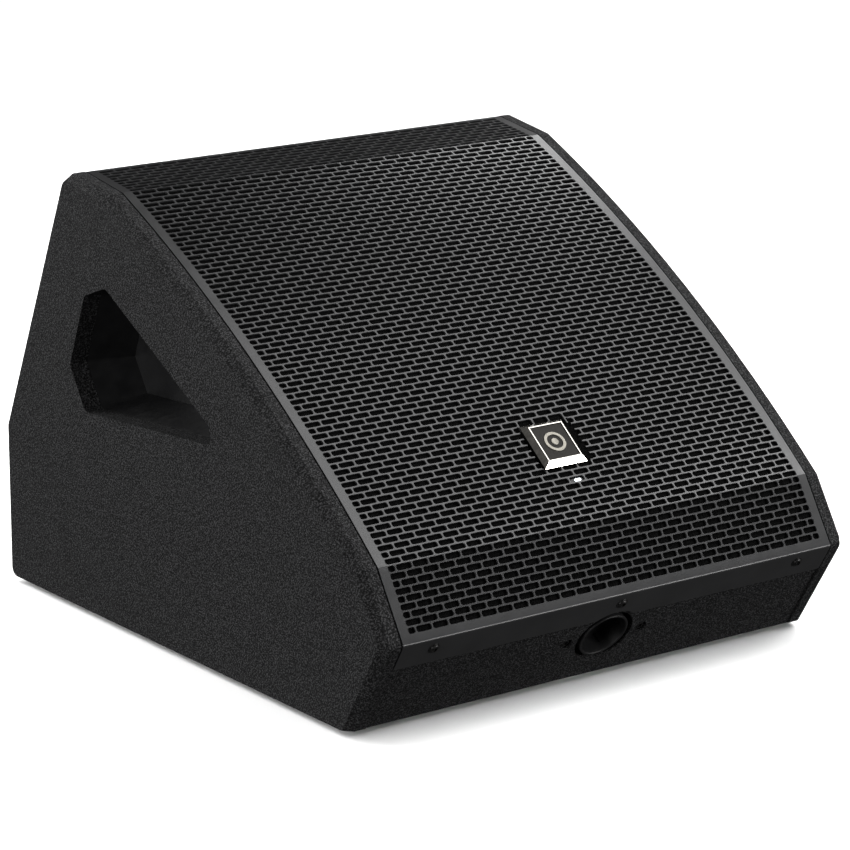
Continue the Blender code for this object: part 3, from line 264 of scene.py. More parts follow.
def bowed_points(steps):
    """Points of the bowed face, from the lower fold to the upper fold."""
    start, end = outline_point("lip"), outline_point("brow")
    chord = end - start
    along = chord.normalized()
    out = Vector((-along.y, along.x))
    radius = (chord.length ** 2 / 4 + FACE_CROWN ** 2) / (2 * FACE_CROWN)
    half = math.asin(chord.length / 2 / radius)
    centre = (start + end) / 2 + out * (FACE_CROWN - radius)
    angles = [half * (2 * step / steps - 1) for step in range(steps + 1)]
    return [centre + (out * math.cos(angle) + along * math.sin(angle)) * radius for angle in angles]


class SheetLine:
    """Side line of the folded sheet, which turns a distance along it into a place and a direction."""

    BOW_STEPS = 140
    FOLD_STEPS = 8
    FOLD_TURN = math.radians(4)

    def __init__(self, radius):
        nose, base = outline_point("nose"), outline_point("base_front")
        flange_end = nose + (base - nose).normalized() * FLANGE_LENGTH
        bow = bowed_points(self.BOW_STEPS)
        brow, top_back = outline_point("brow"), outline_point("top_back")
        back = top_back + (brow - top_back).normalized() * HEM_GAP
        hem = back + (outline_point("waist") - top_back).normalized() * HEM_DEPTH
        self.points, self.folds = [], []
        self.fold_corners([flange_end, nose, *bow, back, hem], radius)
        self.distances = [0.0]
        for near, far in zip(self.points, self.points[1:]):
            self.distances.append(self.distances[-1] + (far - near).length)
        self.fold_distances = [self.distances[index] for index in self.folds]
        self.normals = self.point_normals()

    def fold_corners(self, corners, radius):
        self.points.append(corners[0])
        for before, corner, after in zip(corners, corners[1:], corners[2:]):
            first, second = (corner - before).normalized(), (after - corner).normalized()
            bend = first.angle_signed(second)
            if abs(bend) < self.FOLD_TURN:
                self.points.append(corner)
                continue
            reach = radius * math.tan(abs(bend) / 2)
            start, end = corner - first * reach, corner + second * reach
            bisector = (second - first).normalized()
            centre = corner + bisector * (radius / math.cos(bend / 2))
            self.folds.append(len(self.points) + self.FOLD_STEPS // 2)
            opening = start - centre
            full = opening.angle_signed(end - centre)
            for step in range(self.FOLD_STEPS + 1):
                swing = Matrix.Rotation(-full * step / self.FOLD_STEPS, 2)
                self.points.append(centre + swing @ opening)
        self.points.append(corners[-1])

    def point_normals(self):
        normals = []
        last = len(self.points) - 1
        for index in range(last + 1):
            along = self.points[min(index + 1, last)] - self.points[max(index - 1, 0)]
            normals.append(Vector((-along.y, along.x)).normalized())
        return normals

    def place(self, distance, depth=0.0):
        index = min(max(bisect_right(self.distances, distance) - 1, 0), len(self.points) - 2)
        share = (distance - self.distances[index]) / (self.distances[index + 1] - self.distances[index])
        point = self.points[index].lerp(self.points[index + 1], share)
        normal = self.normals[index].lerp(self.normals[index + 1], share).normalized()
        return point - normal * depth

    def frame(self, distance):
        """Frame on the sheet at a distance along it, Z outwards."""
        along = self.place(distance + TANGENT_STEP) - self.place(distance - TANGENT_STEP)
        return face_frame(self.place(distance), along)


# ---------------------------------------------------------------- pieces from meshes

# Angle from which an edge is shaded sharp
SHARP_ANGLE = math.radians(30)
# Corners of a turned profile closer than this are joined
WELD_DISTANCE = 1e-7


def make_piece(name, bm, slot, finish=None, body=CABINET, tidy_normals=True):
    """Turns a bmesh into an object that moves with its body; its finish is its slot's unless named."""
    if tidy_normals:
        bmesh.ops.recalc_face_normals(bm, faces=bm.faces)
    mesh = bpy.data.meshes.new(name)
    bm.to_mesh(mesh)
    bm.free()
    mesh.shade_smooth()
    mesh.set_sharp_from_angle(angle=SHARP_ANGLE)
    mesh.materials.append(finish_named(finish or slot))
    piece = bpy.data.objects.new(name, mesh)
    bpy.context.scene.collection.objects.link(piece)
    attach(piece, body)
    return piece


def join_rings(bm, rings, closed=False):
    """Adds quads from each ring of vertices to the next, and from the last to the first if closed."""
    for near, far in zip(rings, rings[1:] + (rings[:1] if closed else [])):
        for index in range(len(near)):
            following = (index + 1) % len(near)
            bm.faces.new((near[index], near[following], far[following], far[index]))


def add_turned(bm, place, profile, steps, outline=None):
    """Adds a surface turned about the frame's Z from (radius, height) pairs.

    outline gives a factor on the radius for each angle, or None for a round ring; it is asked for
    with the index of the pair and the angle."""
    rings = []
    for index, (radius, height) in enumerate(profile):
        if radius == 0:
            rings.append([bm.verts.new(place @ Vector((0, 0, height)))])
            continue
        ring = []
        for step in range(steps):
            angle = 2 * math.pi * step / steps
            reach = radius * (outline(index, angle) if outline else 1.0)
            point = Vector((reach * math.cos(angle), reach * math.sin(angle), height))
            ring.append(bm.verts.new(place @ point))
        rings.append(ring)
    for near, far in zip(rings, rings[1:]):
        for step in range(steps):
            following = (step + 1) % steps
            quad = [near[step % len(near)], near[following % len(near)],
                    far[following % len(far)], far[step % len(far)]]
            face = list(dict.fromkeys(quad))
            if len(face) > 2:
                bm.faces.new(face)


def add_closed_turn(bm, place, profile, steps):
    """Adds a solid turned from a profile that ends on the point where it starts."""
    add_turned(bm, place, profile, steps)
    bmesh.ops.remove_doubles(bm, verts=bm.verts, dist=WELD_DISTANCE)


def add_prism(bm, place, outline, low, high, inset=0.0):
    """Adds a closed prism over an outline of (x, y), its top edge drawn in by inset."""
    middle = sum((Vector(point) for point in outline), Vector((0, 0))) / len(outline)
    bevel = min(inset, (high - low) / 2)
    rings = []
    for height, drawn in ((low, 0.0), (high - bevel, 0.0), (high, inset)):
        ring = []
        for point in outline:
            spoke = Vector(point) - middle
            x, y = middle + spoke * max(0.0, 1 - drawn / max(spoke.length, 1e-6))
            ring.append(bm.verts.new(place @ Vector((x, y, height))))
        rings.append(ring)
    if bevel == 0:
        bm.verts.index_update()
        for vert in rings.pop(1):
            bm.verts.remove(vert)
    join_rings(bm, rings)
    bm.faces.new(rings[0][::-1])
    bm.faces.new(rings[-1])


def rounded_rectangle(width, height, radius, steps=5):
    points = []
    for quarter, (sx, sy) in enumerate(((1, 1), (-1, 1), (-1, -1), (1, -1))):
        cx, cy = sx * (width / 2 - radius), sy * (height / 2 - radius)
        for step in range(steps + 1):
            angle = math.pi / 2 * (quarter + step / steps)
            points.append((cx + radius * math.cos(angle), cy + radius * math.sin(angle)))
    return points


def add_screw_head(bm, place, radius, height, base=0.0):
    """Adds a button head with a six-lobed drive recess."""
    drive = radius * 0.46
    depth = height * 0.62
    profile = [(radius * 0.92, base), (radius, base + height * 0.12), (radius * 0.97, base + height * 0.42),
               (radius * 0.82, base + height * 0.78), (radius * 0.62, base + height * 0.96),
               (drive * 1.12, base + height), (drive, base + height - radius * 0.03),
               (drive * 0.94, base + height - depth), (0, base + height - depth * 1.12)]
    lobed = range(5, 8)
    add_turned(bm, place, profile, 48,
               lambda index, angle: 1 + (0.13 * math.cos(6 * angle) if index in lobed else 0.0))


# ---------------------------------------------------------------- finishes

class Finish:
    """A material whose colour, roughness and relief come from patterns in the object's own space."""

    def __init__(self, name, colour, roughness, metallic=0.0, specular=0.5):
        self.material = bpy.data.materials.new(name)
        self.material.use_nodes = True
        self.material.diffuse_color = (*colour, 1.0)
        self.nodes = self.material.node_tree.nodes
        self.links = self.material.node_tree.links
        self.shader = self.nodes["Principled BSDF"]
        self.shader.inputs["Base Color"].default_value = (*colour, 1.0)
        self.shader.inputs["Roughness"].default_value = roughness
        self.shader.inputs["Metallic"].default_value = metallic
        self.shader.inputs["Specular IOR Level"].default_value = specular
        self.object_space = self.nodes.new("ShaderNodeTexCoord").outputs["Object"]
        self.normal = None

    def stretched(self, across, along, up):
        mapping = self.nodes.new("ShaderNodeMapping")
        mapping.inputs["Scale"].default_value = (across, along, up)
        self.links.new(self.object_space, mapping.inputs["Vector"])
        return mapping.outputs["Vector"]

    def noise(self, scale, detail=2.0, vector=None):
        texture = self.nodes.new("ShaderNodeTexNoise")
        texture.inputs["Scale"].default_value = scale
        texture.inputs["Detail"].default_value = detail
        self.links.new(vector or self.object_space, texture.inputs["Vector"])
        return texture.outputs["Fac"]

    def cells(self, scale, vector=None):
        texture = self.nodes.new("ShaderNodeTexVoronoi")
        texture.inputs["Scale"].default_value = scale
        self.links.new(vector or self.object_space, texture.inputs["Vector"])
        return texture.outputs["Distance"]

    def waves(self, scale, vector=None, distortion=0.0):
        texture = self.nodes.new("ShaderNodeTexWave")
        texture.inputs["Scale"].default_value = scale
        texture.inputs["Distortion"].default_value = distortion
        self.links.new(vector or self.object_space, texture.inputs["Vector"])
        return texture.outputs["Fac"]

    def colour(self, pattern, *stops):
        """Blends the base colour over (position, colour) stops of a pattern."""
        ramp = self.nodes.new("ShaderNodeValToRGB")
        elements = ramp.color_ramp.elements
        while len(elements) < len(stops):
            elements.new(0.5)
        for element, (position, shade) in zip(elements, stops):
            element.position = position
            element.color = (*shade, 1.0)
        self.links.new(pattern, ramp.inputs["Fac"])
        self.links.new(ramp.outputs["Color"], self.shader.inputs["Base Color"])
        return self

    def roughness(self, pattern, low, high):
        spread = self.nodes.new("ShaderNodeMapRange")
        spread.inputs["From Min"].default_value = 0.3
        spread.inputs["From Max"].default_value = 0.7
        spread.inputs["To Min"].default_value = low
        spread.inputs["To Max"].default_value = high
        self.links.new(pattern, spread.inputs["Value"])
        self.links.new(spread.outputs["Result"], self.shader.inputs["Roughness"])
        return self

    def relief(self, pattern, depth, strength=1.0):
        bump = self.nodes.new("ShaderNodeBump")
        bump.inputs["Strength"].default_value = strength
        bump.inputs["Distance"].default_value = depth
        self.links.new(pattern, bump.inputs["Height"])
        if self.normal:
            self.links.new(self.normal, bump.inputs["Normal"])
        self.normal = bump.outputs["Normal"]
        self.links.new(self.normal, self.shader.inputs["Normal"])
        return self


def shade(colour, factor):
    return tuple(min(1.0, part * factor) for part in colour)


def textured_paint(settings):
    base = tuple(settings.cabinet)
    finish = Finish("cabinet_paint", base, 0.75, specular=0.12)
    grain_with_painted_glints = finish.noise(820, 2.5)
    # Colour follows the raised grain: painted highlights (up to 3.4 times the paint's colour) on its peaks
    # and painted shade in its hollows, over the real relief below
    finish.colour(grain_with_painted_glints, (0.36, shade(base, 0.30)), (0.50, shade(base, 0.80)), (0.64, shade(base, 3.4)))
    finish.roughness(finish.noise(60, 2.0), 0.66, 0.80)
    return finish.relief(grain_with_painted_glints, 0.0012, 0.9).relief(finish.noise(240, 1.0), 0.0006, 0.4).material


def baffle_paint(settings):
    base = shade(tuple(settings.cabinet), 0.5)
    finish = Finish("baffle_paint", base, 0.75, specular=0.3)
    grain = finish.noise(300, 3.0)
    finish.colour(grain, (0.3, shade(base, 0.7)), (0.7, shade(base, 1.3)))
    return finish.relief(grain, 0.0002, 0.5).material


def powder_coat(settings):
    base = tuple(settings.grille)
    finish = Finish("grille_coat", base, 0.31, specular=0.5)
    peel = finish.noise(1500, 1.5)
    finish.colour(finish.noise(35, 2.0), (0.3, shade(base, 0.88)), (0.7, shade(base, 1.12)))
    finish.roughness(finish.noise(90, 2.0), 0.28, 0.34)
    return finish.relief(peel, 0.00012, 0.35).material


def open_foam(settings):
    base = tuple(settings.foam)
    finish = Finish("foam", base, 1.0, specular=0.05)
    pores = finish.cells(900)
    finish.colour(pores, (0.1, shade(base, 0.4)), (0.8, shade(base, 1.5)))
    return finish.relief(pores, 0.0006, 1.0).material


def polished_trim(settings):
    finish = Finish("badge", tuple(settings.trim), 0.16, metallic=1.0)
    streaks = finish.noise(160, 3.0, finish.stretched(0.2, 4.0, 4.0))
    return finish.roughness(streaks, 0.12, 0.24).relief(streaks, 0.00003, 0.3).material


def status_lens(settings):
    finish = Finish("light", tuple(settings.light), 0.3)
    finish.shader.inputs["Emission Color"].default_value = (*settings.light, 1.0)
    finish.shader.inputs["Emission Strength"].default_value = 2.2
    ripple = finish.noise(900, 1.0)
    return finish.relief(ripple, 0.00005, 0.3).material


def moulded_plastic(settings):
    base = tuple(settings.plastic)
    finish = Finish("moulded_black", base, 0.46, specular=0.45)
    grain = finish.cells(1400)
    finish.colour(finish.noise(50, 2.0), (0.3, shade(base, 0.85)), (0.7, shade(base, 1.2)))
    finish.roughness(finish.noise(120, 2.0), 0.40, 0.54)
    return finish.relief(grain, 0.00010, 0.4).material


def knob_plastic(settings):
    base = shade(tuple(settings.plastic), 1.4)
    finish = Finish("knob_black", base, 0.55, specular=0.4)
    grain = finish.noise(2600, 1.0)
    finish.colour(grain, (0.3, shade(base, 0.85)), (0.7, shade(base, 1.15)))
    return finish.relief(grain, 0.00006, 0.4).material


def soft_rubber(settings):
    finish = Finish("rubber", (0.016, 0.016, 0.016), 0.78, specular=0.3)
    bloom = finish.noise(70, 3.0)
    finish.colour(bloom, (0.3, (0.012, 0.012, 0.012)), (0.72, (0.026, 0.026, 0.025)))
    return finish.relief(finish.noise(1400, 1.0), 0.00012, 0.4).material


def patterned(name, base, rough, pattern, scale, stops=(), spread=None, relief=None, stretch=None,
              metallic=0.0, specular=0.5, **shape):
    """A finish whose colour stops, spread of roughness and relief all follow one pattern."""
    finish = Finish(name, base, rough, metallic, specular)
    if stretch:
        shape["vector"] = finish.stretched(*stretch)
    values = getattr(finish, pattern)(scale, **shape)
    if stops:
        finish.colour(values, *stops)
    if spread:
        finish.roughness(values, *spread)
    if relief:
        finish.relief(values, *relief)
    return finish.material


PATTERNED = {
    "badge_ground": dict(base=(0.022, 0.020, 0.018), rough=0.5, specular=0.12,
                         pattern="noise", scale=2200, detail=1.0, relief=(0.00005, 0.3),
                         stops=((0.3, (0.016, 0.015, 0.013)), (0.7, (0.030, 0.027, 0.023)))),
    "badge_emblem": dict(base=(0.24, 0.225, 0.195), rough=0.42, metallic=0.9, spread=(0.36, 0.50),
                         pattern="noise", scale=900, stretch=(0.15, 3.0, 3.0), relief=(0.00003, 0.4),
                         stops=((0.3, (0.20, 0.19, 0.165)), (0.7, (0.29, 0.275, 0.24)))),
    "latch_grey": dict(base=(0.20, 0.20, 0.205), rough=0.42,
                       pattern="noise", scale=1200, detail=1.5, relief=(0.00005, 0.3),
                       stops=((0.3, (0.17, 0.17, 0.175)), (0.7, (0.23, 0.23, 0.235)))),
    "print_ink": dict(base=(0.52, 0.52, 0.51), rough=0.6, pattern="noise", scale=1800,
                      stops=((0.3, (0.46, 0.46, 0.45)), (0.7, (0.58, 0.58, 0.57)))),
    "screw_black": dict(base=(0.035, 0.035, 0.036), rough=0.34, metallic=0.75, spread=(0.28, 0.46),
                        pattern="noise", scale=700, detail=3.0, relief=(0.00003, 0.3),
                        stops=((0.40, (0.022, 0.022, 0.023)), (0.75, (0.075, 0.073, 0.070)))),
    "cast_frame": dict(base=(0.030, 0.030, 0.032), rough=0.55, metallic=0.4,
                       pattern="noise", scale=480, detail=4.0, relief=(0.0002, 0.5),
                       stops=((0.3, (0.022, 0.022, 0.024)), (0.7, (0.045, 0.045, 0.047)))),
    "zinc_steel": dict(base=(0.55, 0.55, 0.52), rough=0.30, metallic=1.0, spread=(0.24, 0.38),
                       pattern="noise", scale=90, detail=3.0,
                       stops=((0.3, (0.48, 0.48, 0.44)), (0.7, (0.62, 0.61, 0.57)))),
    "ferrite": dict(base=(0.040, 0.040, 0.042), rough=0.6,
                    pattern="noise", scale=500, detail=4.0, relief=(0.00015, 0.5),
                    stops=((0.3, (0.030, 0.030, 0.032)), (0.7, (0.055, 0.054, 0.055)))),
    "cone": dict(base=(0.022, 0.022, 0.023), rough=0.8, specular=0.3,
                 pattern="noise", scale=380, detail=5.0, relief=(0.0003, 0.6),
                 stops=((0.3, (0.014, 0.014, 0.015)), (0.7, (0.036, 0.035, 0.034)))),
    "spider": dict(base=(0.42, 0.27, 0.10), rough=0.85, specular=0.2,
                   pattern="waves", scale=420, distortion=1.0, relief=(0.0002, 0.6),
                   stops=((0.2, (0.30, 0.18, 0.06)), (0.8, (0.50, 0.33, 0.13)))),
    "copper": dict(base=(0.55, 0.25, 0.12), rough=0.3, metallic=1.0,
                   pattern="waves", scale=520, stretch=(0, 0.65, 1), relief=(0.0001, 0.6),
                   stops=((0.2, (0.38, 0.16, 0.07)), (0.8, (0.62, 0.30, 0.15)))),
    "anodised": dict(base=(0.026, 0.026, 0.028), rough=0.42, metallic=0.35, spread=(0.36, 0.50),
                     pattern="noise", scale=240, detail=3.0, stretch=(0.08, 3.0, 3.0),
                     relief=(0.00004, 0.4),
                     stops=((0.3, (0.021, 0.021, 0.023)), (0.7, (0.034, 0.034, 0.036)))),
    "display": dict(base=(0.006, 0.009, 0.013), rough=0.08, spread=(0.05, 0.14),
                    pattern="noise", scale=30),
    "circuit": dict(base=(0.03, 0.14, 0.06), rough=0.35,
                    pattern="waves", scale=160, distortion=6.0, stretch=(1, 0.4, 0.4),
                    relief=(0.0001, 0.5),
                    stops=((0.45, (0.020, 0.095, 0.040)), (0.55, (0.045, 0.18, 0.08)))),
    "cable": dict(base=(0.05, 0.05, 0.055), rough=0.6, pattern="cells", scale=420, relief=(0.0003, 0.6),
                  stops=((0.2, (0.030, 0.030, 0.033)), (0.8, (0.085, 0.085, 0.090)))),
}

# Finishes that follow the add-on's colours, or more than one pattern
MIXED = {
    "cabinet_paint": textured_paint, "baffle_paint": baffle_paint, "grille_coat": powder_coat,
    "foam": open_foam, "badge": polished_trim, "light": status_lens, "moulded_black": moulded_plastic,
    "knob_black": knob_plastic, "rubber": soft_rubber,
}


def finish_named(name):
    """The material of a finish, made on first use."""
    material = bpy.data.materials.get("finish_" + name)
    if material is None:
        if name in PATTERNED:
            material = patterned(name, **PATTERNED[name])
        else:
            material = MIXED[name](bpy.context.scene.monitor_finish)
        material.name = "finish_" + name
    return material


# ---------------------------------------------------------------- perforated grille

class FlatPattern:
    """Faces drawn on the unfolded sheet, as loops of (x, distance) corners."""

    DIGITS = 7

    def __init__(self):
        self.loops = []

    def add(self, loop):
        rounded = [(round(x, self.DIGITS), round(s, self.DIGITS)) for x, s in loop]
        area = sum(a[0] * b[1] - a[1] * b[0] for a, b in zip(rounded, rounded[1:] + rounded[:1]))
        self.loops.append(rounded if area > 0 else rounded[::-1])

    def rectangle(self, x0, x1, s0, s1):
        self.add([(x0, s0), (x1, s0), (x1, s1), (x0, s1)])

    def welded(self):
        """The loops with every corner that lies on another loop's straight edge added to it."""
        rows, columns = {}, {}
        for loop in self.loops:
            for x, s in loop:
                rows.setdefault(s, set()).add(x)
                columns.setdefault(x, set()).add(s)
        rows = {s: sorted(values) for s, values in rows.items()}
        columns = {x: sorted(values) for x, values in columns.items()}
        for loop in self.loops:
            full = []
            for (x0, s0), (x1, s1) in zip(loop, loop[1:] + loop[:1]):
                full.append((x0, s0))
                if s0 == s1:
                    between = [(x, s0) for x in rows[s0] if min(x0, x1) < x < max(x0, x1)]
                    full += between if x1 > x0 else between[::-1]
                elif x0 == x1:
                    between = [(x0, s) for s in columns[x0] if min(s0, s1) < s < max(s0, s1)]
                    full += between if s1 > s0 else between[::-1]
            yield full


def slot_quarter(x, s, reach, half_height, radius, side, end, steps=3):
    """Corner of a slot from its end to its long edge; side and end are 1 or -1."""
    cx, cs = x + side * (reach - radius), s + end * (half_height - radius)
    points = []
    for step in range(steps + 1):
        angle = math.pi / 2 * step / steps
        points.append((cx + side * radius * math.cos(angle), cs + end * radius * math.sin(angle)))
    return points


class Perforation:
    """Staggered slots on a flat pattern."""

    def __init__(self, pattern, settings):
        self.pattern = pattern
        self.half_length = settings.slot_length / 2
        self.half_height = settings.slot_height / 2
        self.radius = settings.slot_corner
        self.web = (settings.pitch - settings.slot_length) / 2

    def corner(self, x, s, reach, side, end):
        return slot_quarter(x, s, reach, self.half_height, min(self.radius, reach), side, end)

    def closed(self, x0, x1, low, high, s):
        """A cell with a whole slot in it, as an upper and a lower loop."""
        x, reach = (x0 + x1) / 2, (x1 - x0) / 2 - self.web
        upper_right = self.corner(x, s, reach, 1, 1)
        upper_left = self.corner(x, s, reach, -1, 1)
        lower_right = self.corner(x, s, reach, 1, -1)
        lower_left = self.corner(x, s, reach, -1, -1)
        self.pattern.add([(x0, high), *upper_left, *upper_right[::-1], (x1, high)])
        self.pattern.add([(x0, low), (x1, low), (x1, high), upper_right[0], *lower_right,
                          *lower_left[::-1], upper_left[0], (x0, high)])

    def cut_sideways(self, edge, far, low, high, s):
        """The rest of a cell whose slot runs out of the sheet at the window's edge."""
        side = 1 if far > edge else -1
        tip = far - side * self.web
        reach = abs(tip - edge)
        upper = self.corner(edge, s, reach, side, 1)
        lower = self.corner(edge, s, reach, side, -1)
        self.pattern.add([(edge, low), (far, low), (far, high), (edge, high),
                          (edge, s + self.half_height), *upper[::-1], *lower,
                          (edge, s - self.half_height)])

    def cut_lengthways(self, x0, x1, cut, outer, s, end):
        """A cell that keeps only the slot's long edge at the given end, open to the window."""
        x, reach = (x0 + x1) / 2, (x1 - x0) / 2 - self.web
        right = self.corner(x, s, reach, 1, end)
        left = self.corner(x, s, reach, -1, end)
        self.pattern.add([(x0, cut), (x - reach, cut), *left, *right[::-1], (x + reach, cut), (x1, cut),
                          (x1, outer), (x0, outer)])

    def stubs(self, x0, x1, start, end):
        """The webs at both ends of a cut cell, which run on into the window."""
        self.pattern.rectangle(x0, x0 + self.web, start, end)
        self.pattern.rectangle(x1 - self.web, x1, start, end)

    def strut(self, x, start, end):
        """A free web across the window."""
        self.pattern.rectangle(x - self.web, x + self.web, start, end)


def flange_pattern(pattern, line, settings, top):
    """Plain flange under the nose, with a round notch for the pole cup."""
    centre = line.fold_distances[0] - (outline_point("nose") - outline_point("board_start")).length + CUP_UP
    radius = settings.notch_radius
    mouth = math.sqrt(max(radius ** 2 - centre ** 2, 0.0))
    edges = [(-GRILLE_HALF_WIDTH, 0.0)]
    opening = math.asin(mouth / radius)
    for step in range(NOTCH_STEPS + 1):
        angle = opening * (2 * step / NOTCH_STEPS - 1)
        edges.append((radius * math.sin(angle), centre + radius * math.cos(angle)))
    edges.append((GRILLE_HALF_WIDTH, 0.0))
    for (x0, s0), (x1, s1) in zip(edges, edges[1:]):
        pattern.add([(x0, s0 if x0 > -GRILLE_HALF_WIDTH else 0.0),
                     (x1, s1 if x1 < GRILLE_HALF_WIDTH else 0.0), (x1, top), (x0, top)])


def row_pattern(slots, settings, index, low, high, s):
    """One row of slots; every other row is shifted by half a pitch."""
    half_pitch = settings.pitch / 2
    edge = -settings.half_columns * half_pitch / 2
    shifted = index % 2
    starts = list(range(0, settings.half_columns, 2))
    if shifted:
        starts = [0] + list(range(1, settings.half_columns - 1, 2)) + [settings.half_columns - 1]
    window = settings.window_half
    for start in starts:
        span = 1 if shifted and start in (0, settings.half_columns - 1) else 2
        x0, x1 = edge + start * half_pitch, edge + (start + span) * half_pitch
        inside = settings.window_low <= index <= settings.window_high and x0 < window and x1 > -window
        if not inside:
            slots.closed(x0, x1, low, high, s)
            continue
        if index == settings.window_low or index == settings.window_high:
            end = 1 if index == settings.window_high else -1
            outer = high if end > 0 else low
            cut = s + end * settings.cut_margin
            if x0 >= -window and x1 <= window:
                slots.cut_lengthways(x0, x1, cut, outer, s, end)
                if end < 0:
                    slots.stubs(x0, x1, cut, s + slots.half_height)
                    continue
                slots.stubs(x0, x1, low, cut)
                slots.strut(x0, low - settings.strut_length, low)
                if x1 + half_pitch > window:
                    slots.strut(x1, low - settings.strut_length, low)
            else:
                slots.closed(x0, x1, low, high, s)
            continue
        if x1 > window:
            slots.cut_sideways(window, x1, low, high, s)
        if x0 < -window:
            slots.cut_sideways(-window, x0, low, high, s)


def grille_pattern(line, settings):
    """The whole sheet unfolded: flange, folds, rows of slots, margins and hem."""
    pattern = FlatPattern()
    slots = Perforation(pattern, settings)
    nose, lip, brow, back = line.fold_distances
    half = settings.fold_half
    pitch = (brow - lip) / settings.main_rows
    inner = settings.half_columns * settings.pitch / 4
    nose_half = settings.fold_radius * NOSE_STRIP
    back_half = settings.fold_radius * BACK_STRIP
    lines = [(nose - nose_half, nose + nose_half)]
    flange_pattern(pattern, line, settings, nose - nose_half)
    rows = [(index, lip + index * pitch) for index in range(-settings.lower_rows, 0)]
    rows += [(index, lip + index * pitch) for index in range(settings.main_rows)]
    rows += [(settings.main_rows + index, brow + index * pitch) for index in range(settings.upper_rows)]
    plain = [(nose + nose_half, rows[0][1]), (rows[-1][1] + pitch, back - back_half)]
    for low, high in plain:
        pattern.rectangle(-GRILLE_HALF_WIDTH, GRILLE_HALF_WIDTH, low, high)
    for index, start in rows:
        low, high = start, start + pitch
        if index in (0, settings.main_rows):
            low += half
        if index in (-1, settings.main_rows - 1):
            high -= half
        row_pattern(slots, settings, index, low, high, start + pitch / 2)
        for x0, x1 in ((-GRILLE_HALF_WIDTH, -inner), (inner, GRILLE_HALF_WIDTH)):
            pattern.rectangle(x0, x1, low, high)
    lines += [(lip - half, lip + half), (brow - half, brow + half), (back - back_half, back + back_half)]
    for low, high in lines:
        marks = [low + (high - low) * step / STRIP_STEPS for step in range(STRIP_STEPS + 1)]
        for near, far in zip(marks, marks[1:]):
            pattern.rectangle(-GRILLE_HALF_WIDTH, GRILLE_HALF_WIDTH, near, far)
    pattern.rectangle(-GRILLE_HALF_WIDTH, GRILLE_HALF_WIDTH, back + back_half, line.distances[-1])
    return pattern


def fold_pattern(pattern, line, thickness):
    """Folds a flat pattern along the side line into a closed sheet of the given thickness."""
    bm = bmesh.new()
    fronts, backs = {}, {}
    edges = set()
    for loop in pattern.welded():
        for corner in loop:
            if corner not in fronts:
                x, distance = corner
                outer, inner = line.place(distance), line.place(distance, thickness)
                fronts[corner] = bm.verts.new((x, outer.x, outer.y))
                backs[corner] = bm.verts.new((x, inner.x, inner.y))
        bm.faces.new([fronts[corner] for corner in loop])
        bm.faces.new([backs[corner] for corner in reversed(loop)])
        edges.update(zip(loop, loop[1:] + loop[:1]))
    for start, end in edges:
        if (end, start) not in edges:
            bm.faces.new((fronts[end], fronts[start], backs[start], backs[end]))
    return bm


def sheet_line():
    return SheetLine(bpy.context.scene.monitor_grille.fold_radius)


def badge_frame():
    settings = bpy.context.scene.monitor_badge
    line = sheet_line()
    return moved(line.frame(line.fold_distances[1] + settings.up), x=settings.across)


# ---------------------------------------------------------------- operators

class MONITOR_OT_cabinet(bpy.types.Operator):
    """Give each board, driver part and housing its finish"""
    bl_idname = "monitor.cabinet"
    bl_label = "Finish Cabinet"

    def execute(self, context):
        for part in frame["record"]["subparts"]:
            node = frame["nodes"][part["node"]]
            node.data.materials.clear()
            node.data.materials.append(finish_named(part["material_slot"]))
        return {"FINISHED"}


class MONITOR_OT_grille(bpy.types.Operator):
    """Punch and fold the steel grille"""
    bl_idname = "monitor.grille"
    bl_label = "Fold Grille"

    def execute(self, context):
        settings = context.scene.monitor_grille
        line = sheet_line()
        bm = fold_pattern(grille_pattern(line, settings), line, settings.thickness)
        sheet = make_piece("perforated_grille", bm, "grille_coat", tidy_normals=False)
        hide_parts("grille")
        return {"FINISHED"}


class MONITOR_OT_foam(bpy.types.Operator):
    """Lay the foam behind the grille"""
    bl_idname = "monitor.foam"
    bl_label = "Lay Foam"

    front = 0.0020
    thickness = 0.0024
    side_margin = 0.0045
    end_margin = 0.006
    columns = 60
    rows = 120
    swell = 0.00025

    def execute(self, context):
        line = sheet_line()
        low = line.fold_distances[0] + self.end_margin
        high = line.fold_distances[-1] - self.end_margin
        half = GRILLE_HALF_WIDTH - self.side_margin
        bm = bmesh.new()
        layers = []
        for depth in (self.front, self.front + self.thickness):
            layer = []
            for row in range(self.rows + 1):
                distance = low + (high - low) * row / self.rows
                strand = []
                for column in range(self.columns + 1):
                    ripple = math.sin(column * 2.4 + row * 1.1) * math.sin(row * 1.7 - column * 0.6)
                    place = line.place(distance, depth + self.swell * ripple)
                    strand.append(bm.verts.new((-half + 2 * half * column / self.columns, place.x, place.y)))
                layer.append(strand)
            layers.append(layer)
        self.join(bm, *layers)
        foam = make_piece("foam_sheet", bm, "foam")
        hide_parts("grille_foam")
        return {"FINISHED"}

    def join(self, bm, top, under):
        for row in range(self.rows):
            for column in range(self.columns):
                for layer in (top, under):
                    bm.faces.new((layer[row][column], layer[row][column + 1],
                                  layer[row + 1][column + 1], layer[row + 1][column]))
        border = [(0, column) for column in range(self.columns)]
        border += [(row, self.columns) for row in range(self.rows)]
        border += [(self.rows, column) for column in range(self.columns, 0, -1)]
        border += [(row, 0) for row in range(self.rows, 0, -1)]
        for (row, column), (next_row, next_column) in zip(border, border[1:] + border[:1]):
            bm.faces.new((top[row][column], top[next_row][next_column],
                          under[next_row][next_column], under[row][column]))


